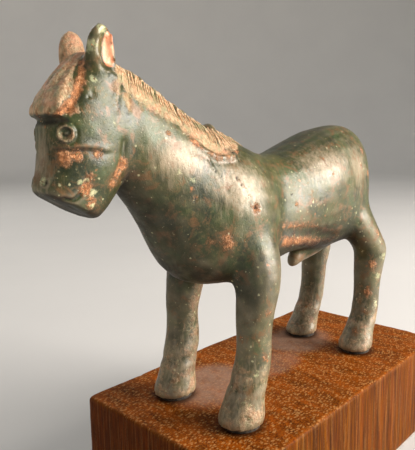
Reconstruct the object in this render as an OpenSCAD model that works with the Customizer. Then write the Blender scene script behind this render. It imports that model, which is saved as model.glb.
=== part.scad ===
// Cast bronze horse statuette on a hardwood block.
// The horse faces -X, its left side is -Y, and +Z is up. The origin is the centre of the underside.

/* [Horse casting] */
// Length of the horse from the nose to the tail
horse_l = 93.4; // [75:0.2:113]
// Height of the horse from the soles to the ear tips
horse_h = 68.4; // [56:0.2:83]
// Width of the body across the shoulders
body_w = 23.4; // [18:0.2:28]
// Distance between the front and hind hooves, centre to centre
wheelbase = 46.5; // [38:0.5:56]
// How far the middle of the wheelbase lies towards the head from the block's centre
stand_shift = 4; // [0:0.1:8]
// Distance between the two front hooves, centre to centre
stance_front = 18.2; // [14:0.1:22]
// Distance between the two hind hooves, centre to centre
stance_hind = 16.4; // [13:0.1:20]
// How far the front pair of hooves stands towards the horse's left
front_offset = 1.2; // [0:0.1:2]
// How far the hind pair of hooves stands towards the horse's left
hind_offset = 0.4; // [0:0.1:2]
// How far the right hind hoof stands behind the left one
hind_step = 0.8; // [0:0.1:3]
// Length of a front hoof at the sole
hoof_l = 9.2; // [7.6:0.1:11.2]
// Width of a front hoof at the sole
hoof_w = 8.2; // [6.8:0.1:10]
// Length of a hind hoof at the sole
hind_hoof_l = 8.6; // [7.4:0.1:10.4]
// Width of a hind hoof at the sole
hind_hoof_w = 8; // [6.6:0.1:9.8]
// Thickness of the slim part of a leg
leg_w = 6.4; // [5.3:0.1:7.7]
// Height of the mane above the crest of the neck
mane_t = 0.8; // [0.4:0.1:1.6]
// Depth of the hollow in each ear
ear_hollow = 1.2; // [0.6:0.1:1.6]

/* [Wood block] */
// Length of the block
block_l = 80; // [78:1:110]
// Width of the block
block_w = 41.6; // [34:0.2:60]
// Height of the block
block_h = 22; // [17:0.5:32]
// Size of the small flat that eases each edge of the block
edge_ease = 0.5; // [0.2:0.1:1.2]

/* [Felt sheet] */
// Thickness of the felt sheet under the block
felt_t = 1.2; // [0.8:0.1:2]
// How far the felt sheet stops short of the block's sides
felt_inset = 0.8; // [0.4:0.1:3]

/* [Mounting pins] */
// Diameter of a mounting pin
pin_d = 2; // [1.5:0.1:2.5]
// Length of a pin inside the wood
pin_in_wood = 12; // [8:0.5:15]
// Length of a pin inside the hoof
pin_in_hoof = 3.6; // [2.5:0.1:4.5]
// Gap for glue around a pin
glue_gap = 0.1; // [0.05:0.01:0.15]
// Free depth above the end of a pin in its hoof
pin_top_gap = 0.4; // [0.2:0.1:0.8]

/* [Hoof washers] */
// Thickness of the washer under each hoof
washer_t = 0.8; // [0.5:0.1:1.5]
// How far a washer's edge stops short of the sole's edge
washer_inset = 0.5; // [0.3:0.1:1]

/* [Hidden] */
CORNERS = ["front_left", "front_right", "hind_left", "hind_right"];

wood_top = felt_t + block_h;
sole_z = wood_top + washer_t;
front_x = -stand_shift - wheelbase / 2;
hind_x = -stand_shift + wheelbase / 2;
// Hoof centres in the order of CORNERS. The horse's left is -Y.
HOOVES = [
    [front_x, -front_offset - stance_front / 2],
    [front_x, -front_offset + stance_front / 2],
    [hind_x - hind_step / 2, -hind_offset - stance_hind / 2],
    [hind_x + hind_step / 2, -hind_offset + stance_hind / 2]
];

// Diameters of the washers: round ones, a little smaller than the soles.
WASHER_D = [
    for (hoof = [[hoof_l, hoof_w], [hoof_l, hoof_w], [hind_hoof_l, hind_hoof_w], [hind_hoof_l, hind_hoof_w]])
        min(hoof) - 2 * washer_inset
];
pin_hole_d = pin_d + 2 * glue_gap;

// The form below is drawn for a horse 93.4 long, 68.4 high and 23.4 wide with legs 6.4 thick, and is
// stretched to the driving sizes.
kx = horse_l / 93.4;
ky = body_w / 23.4;
kz = horse_h / 68.4;
kleg = leg_w / 6.4;

// Trunk and neck, from the rump to behind the cheeks. Each section is
// [top x, top z, bottom x, bottom z, half width, extra width low down, squareness], z above the soles.
TRUNK = [
    [28.4, 49.5, 29.8, 38.0, 1.8, 0, 2.2],
    [27.7, 51.6, 29.2, 34.0, 4.6, 0.02, 2.2],
    [26.2, 53.6, 27.0, 30.0, 7.0, 0.08, 2.2],
    [23.0, 54.7, 23.0, 27.0, 9.0, 0.08, 2.2],
    [17.5, 54.6, 17.5, 25.6, 10.2, 0.05, 2.2],
    [11.0, 53.6, 11.0, 25.6, 10.5, 0.05, 2.2],
    [4.0, 51.4, 4.0, 26.2, 10.0, 0.05, 2.2],
    [-2.5, 49.4, -3.0, 26.4, 9.8, 0.05, 2.2],
    [-8.5, 48.9, -10.0, 25.8, 10.4, 0.08, 2.2],
    [-14.5, 49.8, -17.5, 24.6, 11.4, 0.1, 2.2],
    [-20.0, 51.6, -25.0, 24.2, 11.7, 0.12, 2.2],
    [-25.0, 53.2, -31.0, 25.6, 10.8, 0.12, 2.2],
    [-29.5, 55.0, -35.4, 30.0, 9.0, 0.1, 2.1],
    [-34.0, 56.8, -38.4, 35.0, 7.6, 0.08, 2.1],
    [-38.5, 59.2, -41.4, 39.5, 6.5, 0.06, 2.1],
    [-43.0, 61.4, -44.6, 43.0, 5.6, 0.02, 2.1],
    [-46.5, 61.6, -47.4, 46.6, 4.6, 0, 2.1],
    [-48.5, 59.5, -49.0, 50.5, 2.6, 0, 2]
];

// Head, from the poll down to the lips, in the same form: front point first, then the back one.
HEAD = [
    [-50.6, 64.6, -47.0, 64.0, 1.6, 0, 2],
    [-52.6, 63.8, -45.0, 62.4, 3.6, 0, 2.1],
    [-54.9, 61.8, -43.4, 59.6, 4.7, 0, 2.3],
    [-56.8, 58.8, -42.9, 55.6, 5.2, 0, 2.5],
    [-58.1, 55.4, -43.4, 51.4, 5.3, 0, 2.6],
    [-58.5, 52.0, -44.6, 47.6, 5.1, 0, 2.6],
    [-58.8, 48.8, -46.2, 44.6, 4.7, 0, 2.6],
    [-59.4, 46.2, -48.4, 41.8, 4.3, 0, 2.5],
    [-59.6, 44.8, -50.6, 39.9, 4.0, 0, 2.4],
    [-58.4, 43.8, -51.8, 40.2, 2.6, 0, 2.2]
];

// Forelock, a leaf that widens down the forehead.
FORELOCK = [
    [-49.6, 65.0, -49.2, 64.4, 0.6, 0, 2],
    [-51.8, 64.8, -50.2, 62.4, 1.5, 0, 2],
    [-54.4, 62.8, -51.8, 60.8, 2.3, 0, 2],
    [-56.6, 60.2, -53.8, 58.6, 3.1, 0, 2],
    [-58.2, 57.6, -55.6, 56.6, 4.0, 0, 2],
    [-58.7, 55.6, -56.2, 55.2, 4.4, 0, 2],
    [-58.3, 54.9, -56.6, 54.7, 3.0, 0, 2]
];

// Sheath, under the belly, from the groin forwards.
SHEATH = [
    [22.0, 30.0, 22.0, 27.0, 1.6, 0, 2],
    [18.0, 29.0, 18.0, 24.8, 2.6, 0, 2],
    [12.0, 27.6, 12.0, 23.6, 2.4, 0, 2],
    [7.0, 27.0, 7.0, 22.6, 2.0, 0, 2],
    [4.2, 25.8, 4.0, 21.8, 1.6, 0, 2],
    [3.2, 24.6, 3.0, 22.2, 0.7, 0, 2]
];

// Tail, close along the buttocks: front point first, then the back one.
TAIL = [
    [25.5, 51.5, 27.0, 53.6, 1.2, 0, 2],
    [26.5, 49.0, 30.0, 50.8, 2.0, 0, 2],
    [28.0, 43.0, 32.0, 43.6, 2.2, 0, 2],
    [29.4, 35.0, 33.0, 35.2, 2.1, 0, 2],
    [30.6, 28.0, 33.8, 28.0, 1.8, 0, 2],
    [31.6, 23.4, 33.6, 23.4, 0.8, 0, 2]
];

// Crest of the neck, from the withers to the poll: [x, z] just under the mane.
CREST = [
    [-13.5, 49.0], [-18.0, 51.0], [-22.5, 52.6], [-27.0, 54.0], [-31.5, 56.0],
    [-36.0, 58.4], [-40.5, 61.0], [-44.5, 62.6], [-47.5, 63.4]
];

// A leg station: height, centre behind the hoof, centre outwards, half depth, half width.
function shank(height, back, out, depth, width) = [height, back, out, kleg * depth, kleg * width];

// Legs, from the sole up. The first two stations are the hoof, and the last three lie inside the trunk.
FRONT_LEG = [
    [0, 0, 0, hoof_l / 2, hoof_w / 2],
    [1.4, 0.2, 0, hoof_l / 2, hoof_w / 2],
    shank(4.6, 1.0, 0.1, 4.0, 3.5),
    shank(8.6, 2.6, 0.3, 4.1, 3.3),
    shank(12.0, 3.3, 0.4, 3.8, 3.1),
    shank(16.0, 3.3, 0.5, 3.5, 3.1),
    shank(20.0, 3.9, 0.5, 3.8, 3.5),
    shank(24.0, 4.8, 0.4, 4.4, 4.0),
    shank(29.0, 5.4, -0.4, 5.4, 4.4),
    shank(34.0, 6.0, -2.0, 6.0, 4.2),
    shank(39.0, 6.4, -4.0, 5.0, 3.4)
];
HIND_LEG = [
    [0, 0, 0, hind_hoof_l / 2, hind_hoof_w / 2],
    [1.4, 0.4, 0, hind_hoof_l / 2, hind_hoof_w / 2],
    shank(4.6, 2.2, 0, 3.7, 3.4),
    shank(8.6, 4.6, 0, 3.4, 3.2),
    shank(13.0, 5.4, -0.1, 3.2, 3.2),
    shank(17.5, 5.8, -0.1, 3.5, 3.4),
    shank(21.0, 6.6, -0.1, 4.0, 3.7),
    shank(24.0, 6.6, -0.1, 4.6, 3.9),
    shank(28.0, 4.2, -0.9, 5.4, 4.2),
    shank(33.0, 1.0, -2.2, 6.4, 4.4),
    shank(39.0, -0.6, -3.6, 6.0, 4.0),
    shank(44.0, -0.8, -4.6, 4.4, 3.0)
];

// Left ear, from its root to the tip: [z, centre x, centre out, half depth, half thickness].
EAR = [
    [59.6, -49.2, 2.8, 2.2, 1.6], [62.0, -49.8, 3.3, 2.5, 1.7], [64.6, -50.1, 3.6, 2.4, 1.5],
    [66.6, -50.1, 3.8, 2.0, 1.2], [67.8, -50.1, 3.9, 1.3, 0.9], [68.4, -50.1, 3.9, 0.5, 0.4]
];

// A point between b and c on the smooth curve through a, b, c and d, at the share t of the way.
function between(a, b, c, d, t) =
    0.5 * (2 * b + (c - a) * t + (2 * a - 5 * b + 4 * c - d) * t * t + (3 * b - a - 3 * c + d) * t * t * t);

// A list of stations made finer, with the given number of steps between each two.
function smooth(s, steps) = let (n = len(s) - 1) [
    for (i = [0 : n - 1], k = [0 : steps - 1])
        between(s[max(i - 1, 0)], s[i], s[i + 1], s[min(i + 2, n)], k / steps),
    s[n]
];

// Turns a sine or cosine into that of a squarer oval: p is 2 for an ellipse and more for a fuller section.
function bend(v, p) = sign(v) * pow(abs(v), 2 / p);

// A section of the trunk or head as a ring of points.
function body_ring(s, sides) = [
    for (k = [0 : sides - 1]) let (
        a = 360 * k / sides,
        up = bend(cos(a), s[6]), out = bend(sin(a), s[6]) * (1 - s[5] * cos(a))
    ) [
        kx * ((s[0] + s[2]) / 2 + up * (s[0] - s[2]) / 2),
        ky * s[4] * out,
        kz * ((s[1] + s[3]) / 2 + up * (s[1] - s[3]) / 2)
    ]
];

// A level section of a leg as a ring of points. side is -1 on the horse's left.
function leg_ring(s, hoof, side, sides) = [
    for (k = [0 : sides - 1]) let (a = 360 * k / sides) [
        hoof[0] + s[1] + s[3] * cos(a),
        hoof[1] + side * s[2] + s[4] * sin(a),
        kz * s[0]
    ]
];

// A level section of an ear as a ring of points.
function ear_ring(s, side, sides) = [
    for (k = [0 : sides - 1]) let (a = 360 * k / sides)
        [kx * (s[1] + s[3] * cos(a)), side * ky * s[2] + s[4] * sin(a), kz * s[0]]
];

// Skins a list of rings, all with the same number of points, and closes both ends.
module skin(rings) {
    n = len(rings[0]);
    last = len(rings) - 1;
    walls = [
        for (i = [0 : last - 1], k = [0 : n - 1]) let (
            a = i * n + k, b = i * n + (k + 1) % n
        ) each [[a, b + n, b], [a, a + n, b + n]]
    ];
    ends = [[for (k = [0 : n - 1]) k], [for (k = [n - 1 : -1 : 0]) last * n + k]];
    polyhedron(points = [for (r = rings) each r], faces = concat(walls, ends), convexity = 6);
}

// A body form from its list of sections.
module skin_of(stations, steps, sides) {
    skin([for (s = smooth(stations, steps)) body_ring(s, sides)]);
}

// The mane is a ridge along the crest, its lower half sunk into the neck.
module mane() {
    sides = 14;
    root = 2;
    half_w = 2.1;
    skin([
        for (c = smooth(CREST, 2)) [
            for (k = [0 : sides - 1]) let (a = 360 * k / sides)
                [kx * c[0], half_w * sin(a), kz * c[1] - root + (root + mane_t) * cos(a)]
        ]
    ]);
}

module leg(stations, corner) {
    side = HOOVES[corner][1] > 0 ? 1 : -1;
    skin([for (s = smooth(stations, 2)) leg_ring(s, HOOVES[corner], side, 16)]);
}

module ear(side) {
    // The hollow opens outwards and a little backwards, inside a rim all round.
    hollow = [
        for (s = EAR) if (s[0] > 61 && s[0] < 68)
            [s[0], s[1] + 0.5, s[2] + 1.2, s[3] * 0.62, ear_hollow]
    ];
    difference() {
        skin([for (s = smooth(EAR, 2)) ear_ring(s, side, 14)]);
        skin([for (s = smooth(hollow, 2)) ear_ring(s, side, 10)]);
    }
}

module horse_form() {
    skin_of(TRUNK, 2, 28);
    skin_of(HEAD, 2, 24);
    skin_of(FORELOCK, 2, 14);
    skin_of(SHEATH, 2, 12);
    skin_of(TAIL, 2, 12);
    mane();
    ear(-1);
    ear(1);
    leg(FRONT_LEG, 0);
    leg(FRONT_LEG, 1);
    leg(HIND_LEG, 2);
    leg(HIND_LEG, 3);
}

module horse_casting() {
    color("#565b3c") translate([0, 0, sole_z]) difference() {
        // A size of zero keeps every dimension: this makes the lofts one skin, in which the pin holes
        // stay true bores.
        resize([0, 0, 0]) horse_form();
        for (h = HOOVES)
            translate([h[0], h[1], -1]) cylinder(d = pin_hole_d, h = 1 + pin_in_hoof + pin_top_gap, $fn = 48);
    }
}

// A rectangle whose four corners are cut by the edge easing.
function eased(x, y) = let (e = edge_ease) [
    [e, 0], [x - e, 0], [x, e], [x, y - e], [x - e, y], [e, y], [0, y - e], [0, e]
];

module wood_block() {
    color("#a5552a") translate([-block_l / 2, -block_w / 2, felt_t]) difference() {
        // The three eased outlines together ease all twelve edges.
        intersection() {
            linear_extrude(block_h) polygon(eased(block_l, block_w));
            translate([0, block_w, 0]) rotate([90, 0, 0])
                linear_extrude(block_w) polygon(eased(block_l, block_h));
            rotate([90, 0, 90]) linear_extrude(block_l) polygon(eased(block_w, block_h));
        }
        for (h = HOOVES)
            translate([block_l / 2 + h[0], block_w / 2 + h[1], block_h - pin_in_wood])
                cylinder(d = pin_hole_d, h = pin_in_wood + 1, $fn = 48);
    }
}

module felt_sheet() {
    l = block_l - 2 * felt_inset;
    w = block_w - 2 * felt_inset;
    color("#cfc7b4") translate([-l / 2, -w / 2, 0]) cube([l, w, felt_t]);
}

module mount_pin(corner) {
    color("#c9a34a") translate([HOOVES[corner][0], HOOVES[corner][1], wood_top - pin_in_wood])
        cylinder(d = pin_d, h = pin_in_wood + washer_t + pin_in_hoof, $fn = 48);
}

module hoof_washer(corner) {
    color("#1c1a17") translate([HOOVES[corner][0], HOOVES[corner][1], wood_top]) difference() {
        cylinder(d = WASHER_D[corner], h = washer_t, $fn = 64);
        translate([0, 0, -1]) cylinder(d = pin_hole_d, h = washer_t + 2, $fn = 48);
    }
}

horse_casting();
wood_block();
felt_sheet();
for (i = [0 : 3]) {
    mount_pin(i);
    hoof_washer(i);
}
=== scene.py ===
import math

import bmesh
import bpy
import numpy as np
from bpy.props import FloatProperty, FloatVectorProperty, IntProperty, PointerProperty
from mathutils import Matrix, Vector


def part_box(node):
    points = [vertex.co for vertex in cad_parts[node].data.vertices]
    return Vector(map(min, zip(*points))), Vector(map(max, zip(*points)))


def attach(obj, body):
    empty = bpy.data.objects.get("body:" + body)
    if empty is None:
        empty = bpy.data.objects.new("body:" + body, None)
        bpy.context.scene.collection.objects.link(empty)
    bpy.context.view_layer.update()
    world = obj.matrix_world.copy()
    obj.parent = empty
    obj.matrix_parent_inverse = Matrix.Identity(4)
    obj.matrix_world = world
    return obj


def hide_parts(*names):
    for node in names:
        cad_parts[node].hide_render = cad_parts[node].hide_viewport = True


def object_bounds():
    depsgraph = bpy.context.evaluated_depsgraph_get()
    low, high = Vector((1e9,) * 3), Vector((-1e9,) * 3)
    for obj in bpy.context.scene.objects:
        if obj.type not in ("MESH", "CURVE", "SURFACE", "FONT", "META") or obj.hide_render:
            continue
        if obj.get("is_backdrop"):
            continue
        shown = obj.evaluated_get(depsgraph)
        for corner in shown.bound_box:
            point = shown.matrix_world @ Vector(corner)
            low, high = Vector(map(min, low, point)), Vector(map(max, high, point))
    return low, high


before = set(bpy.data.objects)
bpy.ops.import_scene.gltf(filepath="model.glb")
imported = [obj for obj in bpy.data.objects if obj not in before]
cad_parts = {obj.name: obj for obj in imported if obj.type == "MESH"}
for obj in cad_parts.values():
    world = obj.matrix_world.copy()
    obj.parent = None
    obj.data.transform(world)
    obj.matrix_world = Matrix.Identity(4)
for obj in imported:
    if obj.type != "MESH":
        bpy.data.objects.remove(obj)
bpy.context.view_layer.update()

bl_info = {
    "name": "Bronze Horse on a Wooden Block",
    "version": (1, 0, 0),
    "blender": (4, 5, 0),
    "location": "3D View > Sidebar > Bronze Horse",
    "description": "A small cast bronze horse, pinned to a hardwood block on felt, with its stage",
    "category": "Object",
}

MM = 0.001
TO_MM = 1000
FULL_TURN = 6.28  # for random phases

# Sizes that no setting changes: a felt fibre's radius, a washer's hole, and the felt's cut edge.
FIBRE_RADIUS = 0.022 * MM
WASHER_HOLE = 1.15 * MM
FELT_BULGE, FELT_UNEVEN = 0.16 * MM, 0.07 * MM
FELT_ACROSS, FELT_ALONG, FELT_ROWS = 70, 36, 5

# Smoothing takes a point this share of the way to its neighbours' mean, and back, by turns.
SHRINK, SWELL = 0.5, -0.52
# A drawn line is laid on the skin in steps of so many millimetres.
LINE_SPACING = 0.4
# So many waves make the unevenness of hand-modelled wax.
WAVES = 26

# The stage in metres, and the camera: degrees, and millimetres from the middle of the block's top.
FLOOR_FLAT, FLOOR_COVE, FLOOR_WALL, FLOOR_TURNS = 1.1, 0.5, 1.4, 96
CAMERA_TURN, CAMERA_RISE, CAMERA_ROLL = -46.148, 9.037, 1.106
CAMERA_PLACE = (-97.317, -69.894, 52.290)
SENSOR_WIDTH = 36

# The box in which the horse was drawn, in millimetres, z from the soles of its hooves.
DRAWN_LO = np.array((-59.61, -14.70, 0.0))
DRAWN_HI = np.array((33.80, 12.30, 68.40))
LEGS = {
    "front_left": (-27.25, -10.3),
    "front_right": (-27.25, 7.9),
    "hind_left": (18.85, -8.6),
    "hind_right": (19.65, 7.8),
}

# Lines of the carving, x, y, z in drawn millimetres. The near side is y below zero.
CREST = [(-46.4, 0, 63.2), (-44.5, 0, 62.6), (-40.5, 0, 61.0), (-36, 0, 58.4), (-31.5, 0, 56.0),
         (-27, 0, 54.0), (-22.5, 0, 52.6), (-18.5, 0, 51.2), (-16.0, 0, 50.2)]
MANE_RIM = [(-47.2, -4.6, 59.4), (-44.9, -4.5, 57.9), (-42.2, -5.0, 56.4), (-39.3, -5.2, 55.2),
            (-36.7, -5.4, 54.0), (-34.6, -6.2, 51.6), (-32.5, -7.0, 49.7), (-29.8, -7.6, 48.4),
            (-26.5, -7.6, 48.2), (-22.5, -5.6, 49.2), (-19.0, -3.0, 50.2)]
EYE = (-56.8, -3.9, 52.9)
CHEEK_LEDGE = [(-57.7, -3.1, 50.7), (-55.8, -4.5, 50.7), (-53.7, -5.0, 50.6), (-51.3, -5.1, 50.3)]
MOUTH = [(-57.2, -3.4, 43.6), (-55.9, -4.1, 43.4), (-54.9, -4.3, 44.4), (-54.2, -4.4, 46.2)]
LOCKS = [[(-48.0, -4.6, 60.6), (-48.4, -4.9, 58.6), (-48.8, -5.1, 56.8)],
         [(-46.5, -4.6, 58.5), (-46.6, -4.8, 56.9), (-46.7, -4.8, 55.6)]]
SHOULDER_CUTS = [[(-31.9, -7.6, 48.4), (-31.6, -8.2, 47.0), (-30.9, -8.8, 45.2)],
                 [(-27.9, -9.0, 45.9), (-27.2, -9.7, 44.2), (-26.2, -10.6, 42.0)]]
BEHIND_SHOULDER = [(-9.5, -6.6, 47.0), (-10.5, -9.0, 44.5), (-11.2, -10.4, 40.5), (-12.5, -10.8, 35.5),
                   (-15.5, -10.0, 31.5)]
FLANK = [(14.5, -8.6, 41.0), (11.0, -9.2, 35.5), (8.0, -8.4, 31.5)]
BELLY_CREASE = [(-12.0, -10.4, 33.0), (-7.5, -9.6, 32.6), (-1.0, -8.6, 31.6), (5.0, -7.4, 30.2),
                (9.5, -7.0, 29.4)]
BELLY_RIDGE = [(-12.0, -9.6, 31.2), (-7.5, -8.6, 30.6), (-1.5, -7.4, 29.6), (4.5, -5.9, 28.2)]
TEMPLE = [(-57.6, -4.1, 55.6), (-55.6, -3.9, 56.6), (-54.6, -4.0, 58.6), (-53.6, -3.6, 60.8),
          (-52.6, -2.4, 63.0)]
CHEEKBONE = (-51.2, -5.0, 47.6)
NOSTRIL = (-59.2, -1.7, 46.0)
JAW = [(-47.6, -4.4, 51.5), (-47.9, -4.6, 48.6), (-49.4, -4.4, 46.0)]
CREST_NOTCH = (-26.3, 0, 54.0)
EAR_HOLLOWS = [(-48.7, -4.2, 66.4), (-49.0, -3.7, 64.9), (-48.9, -3.6, 63.4)]
FORELOCK_TOP, FORELOCK_LENGTH = 65.0, 9.4
CHEST_FOLD = [(-35.2, -7.4, 37.0), (-33.0, -8.6, 33.5), (-30.5, -9.6, 30.5)]
TAIL = [(26.2, 0, 52.6), (29.4, 0, 49.5), (32.2, 0, 43.0), (33.3, 0, 36.0), (32.8, 0, 29.0),
        (32.2, 0, 24.0)]

# The pin's bore in a hoof, with its edge: nothing is carved there, and smoothing stops just inside.
BORE_RADIUS, BORE_RADIUS_INSIDE, BORE_DEPTH = 1.9, 1.8, 5.0

# Muscles, as centre, reach each way and height, and lines pressed in between them: width and depth.
SWELLS = [((-24.5, -10.4, 41.0), (6.5, 5, 7.5), 1.0), ((6.5, -9.2, 43.5), (7.5, 5, 7.0), 0.95),
          ((-37.0, -6.6, 45.5), (7.5, 5, 6.0), 0.30), ((-27.2, -10.3, 20.5), (3.2, 4, 3.2), 0.22),
          ((-25.2, -10.3, 8.2), (2.4, 3.5, 2.0), 0.26), ((27.4, -9.2, 24.8), (2.6, 3, 2.6), 0.30),
          ((21.2, -8.6, 8.6), (2.4, 3.5, 2.0), 0.24)]
HOLLOWS = [(BEHIND_SHOULDER, 5.0, 1.9), (FLANK, 3.2, 0.5), (CHEST_FOLD, 2.0, 0.45)]
BELLY_LINES = [(BELLY_CREASE, 1.8, 0.45), (BELLY_RIDGE, 1.5, -0.30)]
# Large single pits: centre, radius, depth.
PITS = [((-24.4, -11.3, 39.4), 0.62, 0.42), ((-25.9, -10.8, 41.4), 0.32, 0.18),
        ((-27.7, -10.9, 38.8), 0.30, 0.16), ((-35.5, -8.0, 41.8), 0.40, 0.2),
        ((-8.6, -10.0, 41.0), 0.34, 0.16), ((-0.4, -10.3, 38.6), 0.40, 0.18)]
# Painted highlights, paler ovals on the neck, shoulder, hip and the front of the nose: centre and reach.
HIGHLIGHT_OVALS = [((-38.0, -7.0, 48.5), (6, 4, 3.2)), ((-26.5, -9.8, 43.5), (6, 4, 5)),
          ((4.0, -8.0, 46.0), (9, 4, 4)), ((-59.0, 0, 49.5), (1.5, 3.0, 5.0)),
          ((16.0, -9.0, 45.0), (5, 4, 5))]
# Colour beside carved lines, cuprite stains and painted shade along the belly's crease and ridge and under
# the cheek's ledge: line, layer, strength, how far out, width.
STAIN_AND_SHADE_LINES = [(TEMPLE, "warm", 0.85, 0, 0.75), (BELLY_RIDGE, "warm", 0.85, 0, 1.5),
                 (BELLY_RIDGE, "soot", 0.35, 0, 2.6), (BELLY_CREASE, "soot", 0.60, 0, 1.5),
                 (BELLY_CREASE, "warm", 0.5, 1.5, 1.0), (CHEEK_LEDGE, "soot", 0.6, 0, 0.4)]
# Worn, paler ovals of the block's top, partly a painted reflection of the key light: middle, reach,
# strength.
TOP_WEAR_AND_REFLECTION = [((-19, 5), (9.5, 8.5), 1.0), ((15, 6), (9, 7), 1.0), ((-2, 2), (9, 5), 0.5)]

# Places of the corrosion: x, y, z, radius, strength.
WARM_SPOTS = [
    (-57.0, -3.6, 49.4, 1.5, 1.0), (-55.6, -4.4, 49.7, 1.2, 1.0), (-52.4, -5.1, 49.9, 1.0, 0.9),
    (-56.2, -3.9, 56.3, 1.3, 0.9), (-58.6, 0.5, 54.7, 0.9, 0.7), (-54.4, -4.4, 44.8, 1.3, 0.9),
    (-53.4, -4.3, 43.0, 1.2, 0.8), (-53.6, -4.4, 46.6, 0.9, 0.7), (-47.9, -4.5, 48.4, 1.3, 0.9),
    (-48.8, -4.5, 46.8, 1.1, 0.8), (-49.8, -4.3, 45.4, 1.0, 0.7), (-24.4, -11.2, 39.4, 1.3, 0.9),
    (-30.1, -10.1, 34.0, 1.9, 0.7), (-32.6, -8.5, 34.4, 1.2, 0.5), (-35.5, -8.0, 41.8, 0.8, 0.6),
    (-39.5, -6.2, 52.5, 0.7, 0.6), (20.9, -7.9, 48.6, 1.2, 0.7), (22.6, -8.9, 43.0, 1.1, 0.7),
    (-27.0, -11.0, 16.0, 1.3, 0.5), (-24.4, -13.4, 12.5, 1.0, 0.6), (-24.0, -13.2, 20.5, 0.9, 0.6),
    (-8.0, -10.2, 38.5, 0.8, 0.5), (4.5, -10.2, 44.0, 0.6, 0.5), (17.5, -9.2, 45.0, 0.9, 0.5),
    (16.5, -9.5, 5.0, 1.3, 0.7), (22.0, -11.5, 20.5, 1.3, 0.8), (20.5, -11.4, 14.0, 1.2, 0.75),
    (17.6, -11.0, 10.0, 1.0, 0.7), (23.4, -11.6, 28.6, 1.2, 0.6), (27.4, -10.0, 25.4, 1.2, 0.8),
]
CHALK_SPOTS = [
    (-59.2, -1.2, 46.3, 0.8, 1.0), (-53.2, -4.5, 44.4, 0.7, 1.0), (-55.2, -4.3, 45.9, 0.5, 0.9),
    (-54.2, -4.4, 46.3, 0.5, 0.8), (-53.2, -4.2, 42.4, 0.5, 0.8), (-49.7, -5.1, 54.4, 0.35, 0.7),
    (-52.3, -4.6, 60.4, 0.8, 0.8), (-52.5, -4.2, 65.3, 1.1, 0.9), (-50.3, -4.3, 67.6, 1.0, 0.9),
    (24.0, -11.9, 26.4, 1.2, 0.6), (25.5, -12.0, 22.5, 1.3, 0.8), (24.2, -11.8, 17.5, 1.1, 0.8),
    (22.8, -11.7, 10.5, 1.2, 0.7), (-26.4, -13.2, 9.6, 1.0, 0.5), (-28.4, -12.6, 4.6, 1.5, 0.5),
    (-35.7, -7.6, 45.0, 0.6, 0.6), (-2.6, -10.3, 38.7, 0.4, 0.9), (2.0, -10.4, 36.0, 0.4, 0.8),
    (-38.6, -7.2, 46.6, 0.9, 0.5), (19.0, -9.9, 44.6, 0.5, 0.7), (15.2, -9.8, 34.3, 0.6, 0.7),
]


def linear(red, green, blue):
    """A colour written as on a colour card, 0 to 255, turned to light."""
    return tuple(((c / 255 + 0.055) / 1.055) ** 2.4 if c > 10 else c / 255 / 12.92
                 for c in (red, green, blue))


def colour_prop(name, description, card):
    return FloatVectorProperty(name=name, description=description, size=3, subtype="COLOR",
                               min=0, max=1, default=linear(*card))


def length_prop(name, description, mm):
    return FloatProperty(name=name, description=description, default=mm * MM, min=0,
                         subtype="DISTANCE", unit="LENGTH", precision=5)


def share_prop(name, description, value):
    return FloatProperty(name=name, description=description, default=value, min=0, max=1,
                         subtype="FACTOR")


# ---------------------------------------------------------------- settings

class HorseCastingSettings(bpy.types.PropertyGroup):
    """The cast horse's skin"""
    grid: length_prop("Skin grid", "Spacing of the points on the body's skin", 0.485)
    depth: share_prop("Carving depth", "How deep the carved lines and the eyes are", 1.0)
    fillets: IntProperty(name="Fillets", description="Rounds of filling where limbs meet the body",
                         default=60, min=0, max=200)
    pocks: IntProperty(name="Pock marks", description="Small corrosion pits over the whole skin",
                       default=150, min=0)
    seed: IntProperty(name="Seed", description="Places the pock marks", default=7)


class HorsePatinaSettings(bpy.types.PropertyGroup):
    """Colours of the old bronze"""
    olive: colour_prop("Olive", "The smooth patina", (76, 76, 32))
    deep: colour_prop("Deep green", "The darker patches of it", (32, 40, 14))
    # Grey beige is the colour of the painted highlights, and of the paler lower legs and high points.
    sheen: colour_prop("Grey beige", "Rubbed, paler places", (162, 144, 116))
    # Its dark also serves as painted shade underneath, on the breast, between the legs and in creases.
    soot: colour_prop("Soot", "Dirt in the hollows and underneath", (30, 25, 14))
    cuprite: colour_prop("Cuprite", "Orange corrosion", (190, 120, 66))
    tan: colour_prop("Tan", "The mane's and the forelock's earthy coat", (218, 182, 142))
    chalk: colour_prop("Chalk", "Pale crystals and specks", (196, 190, 146))
    roughness: share_prop("Roughness", "Of the smooth patina", 0.37)


class HorseManeSettings(bpy.types.PropertyGroup):
    """Chiselled strokes of the mane"""
    pitch: length_prop("Pitch", "From one stroke to the next", 0.56)
    width: length_prop("Width", "Of one stroke's ridge", 0.34)
    reach: length_prop("Reach", "How far a stroke runs out from the crest", 4.7)
    drop: length_prop("Drop", "How far a stroke runs down", 3.1)
    lean: FloatProperty(name="Lean", description="How far a stroke slants towards the tail",
                        default=-2.5 * MM, subtype="DISTANCE", unit="LENGTH", precision=5)
    seed: IntProperty(name="Seed", description="Unevenness of the strokes", default=3)


class HorseCrustSettings(bpy.types.PropertyGroup):
    """Grains of corrosion"""
    grain: length_prop("Grain", "Width of a large grain", 0.34)
    density: FloatProperty(name="Density", description="Grains to the square millimetre where it is thick",
                           default=4.5, min=0)
    seed: IntProperty(name="Seed", description="Places the grains", default=5)


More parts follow.
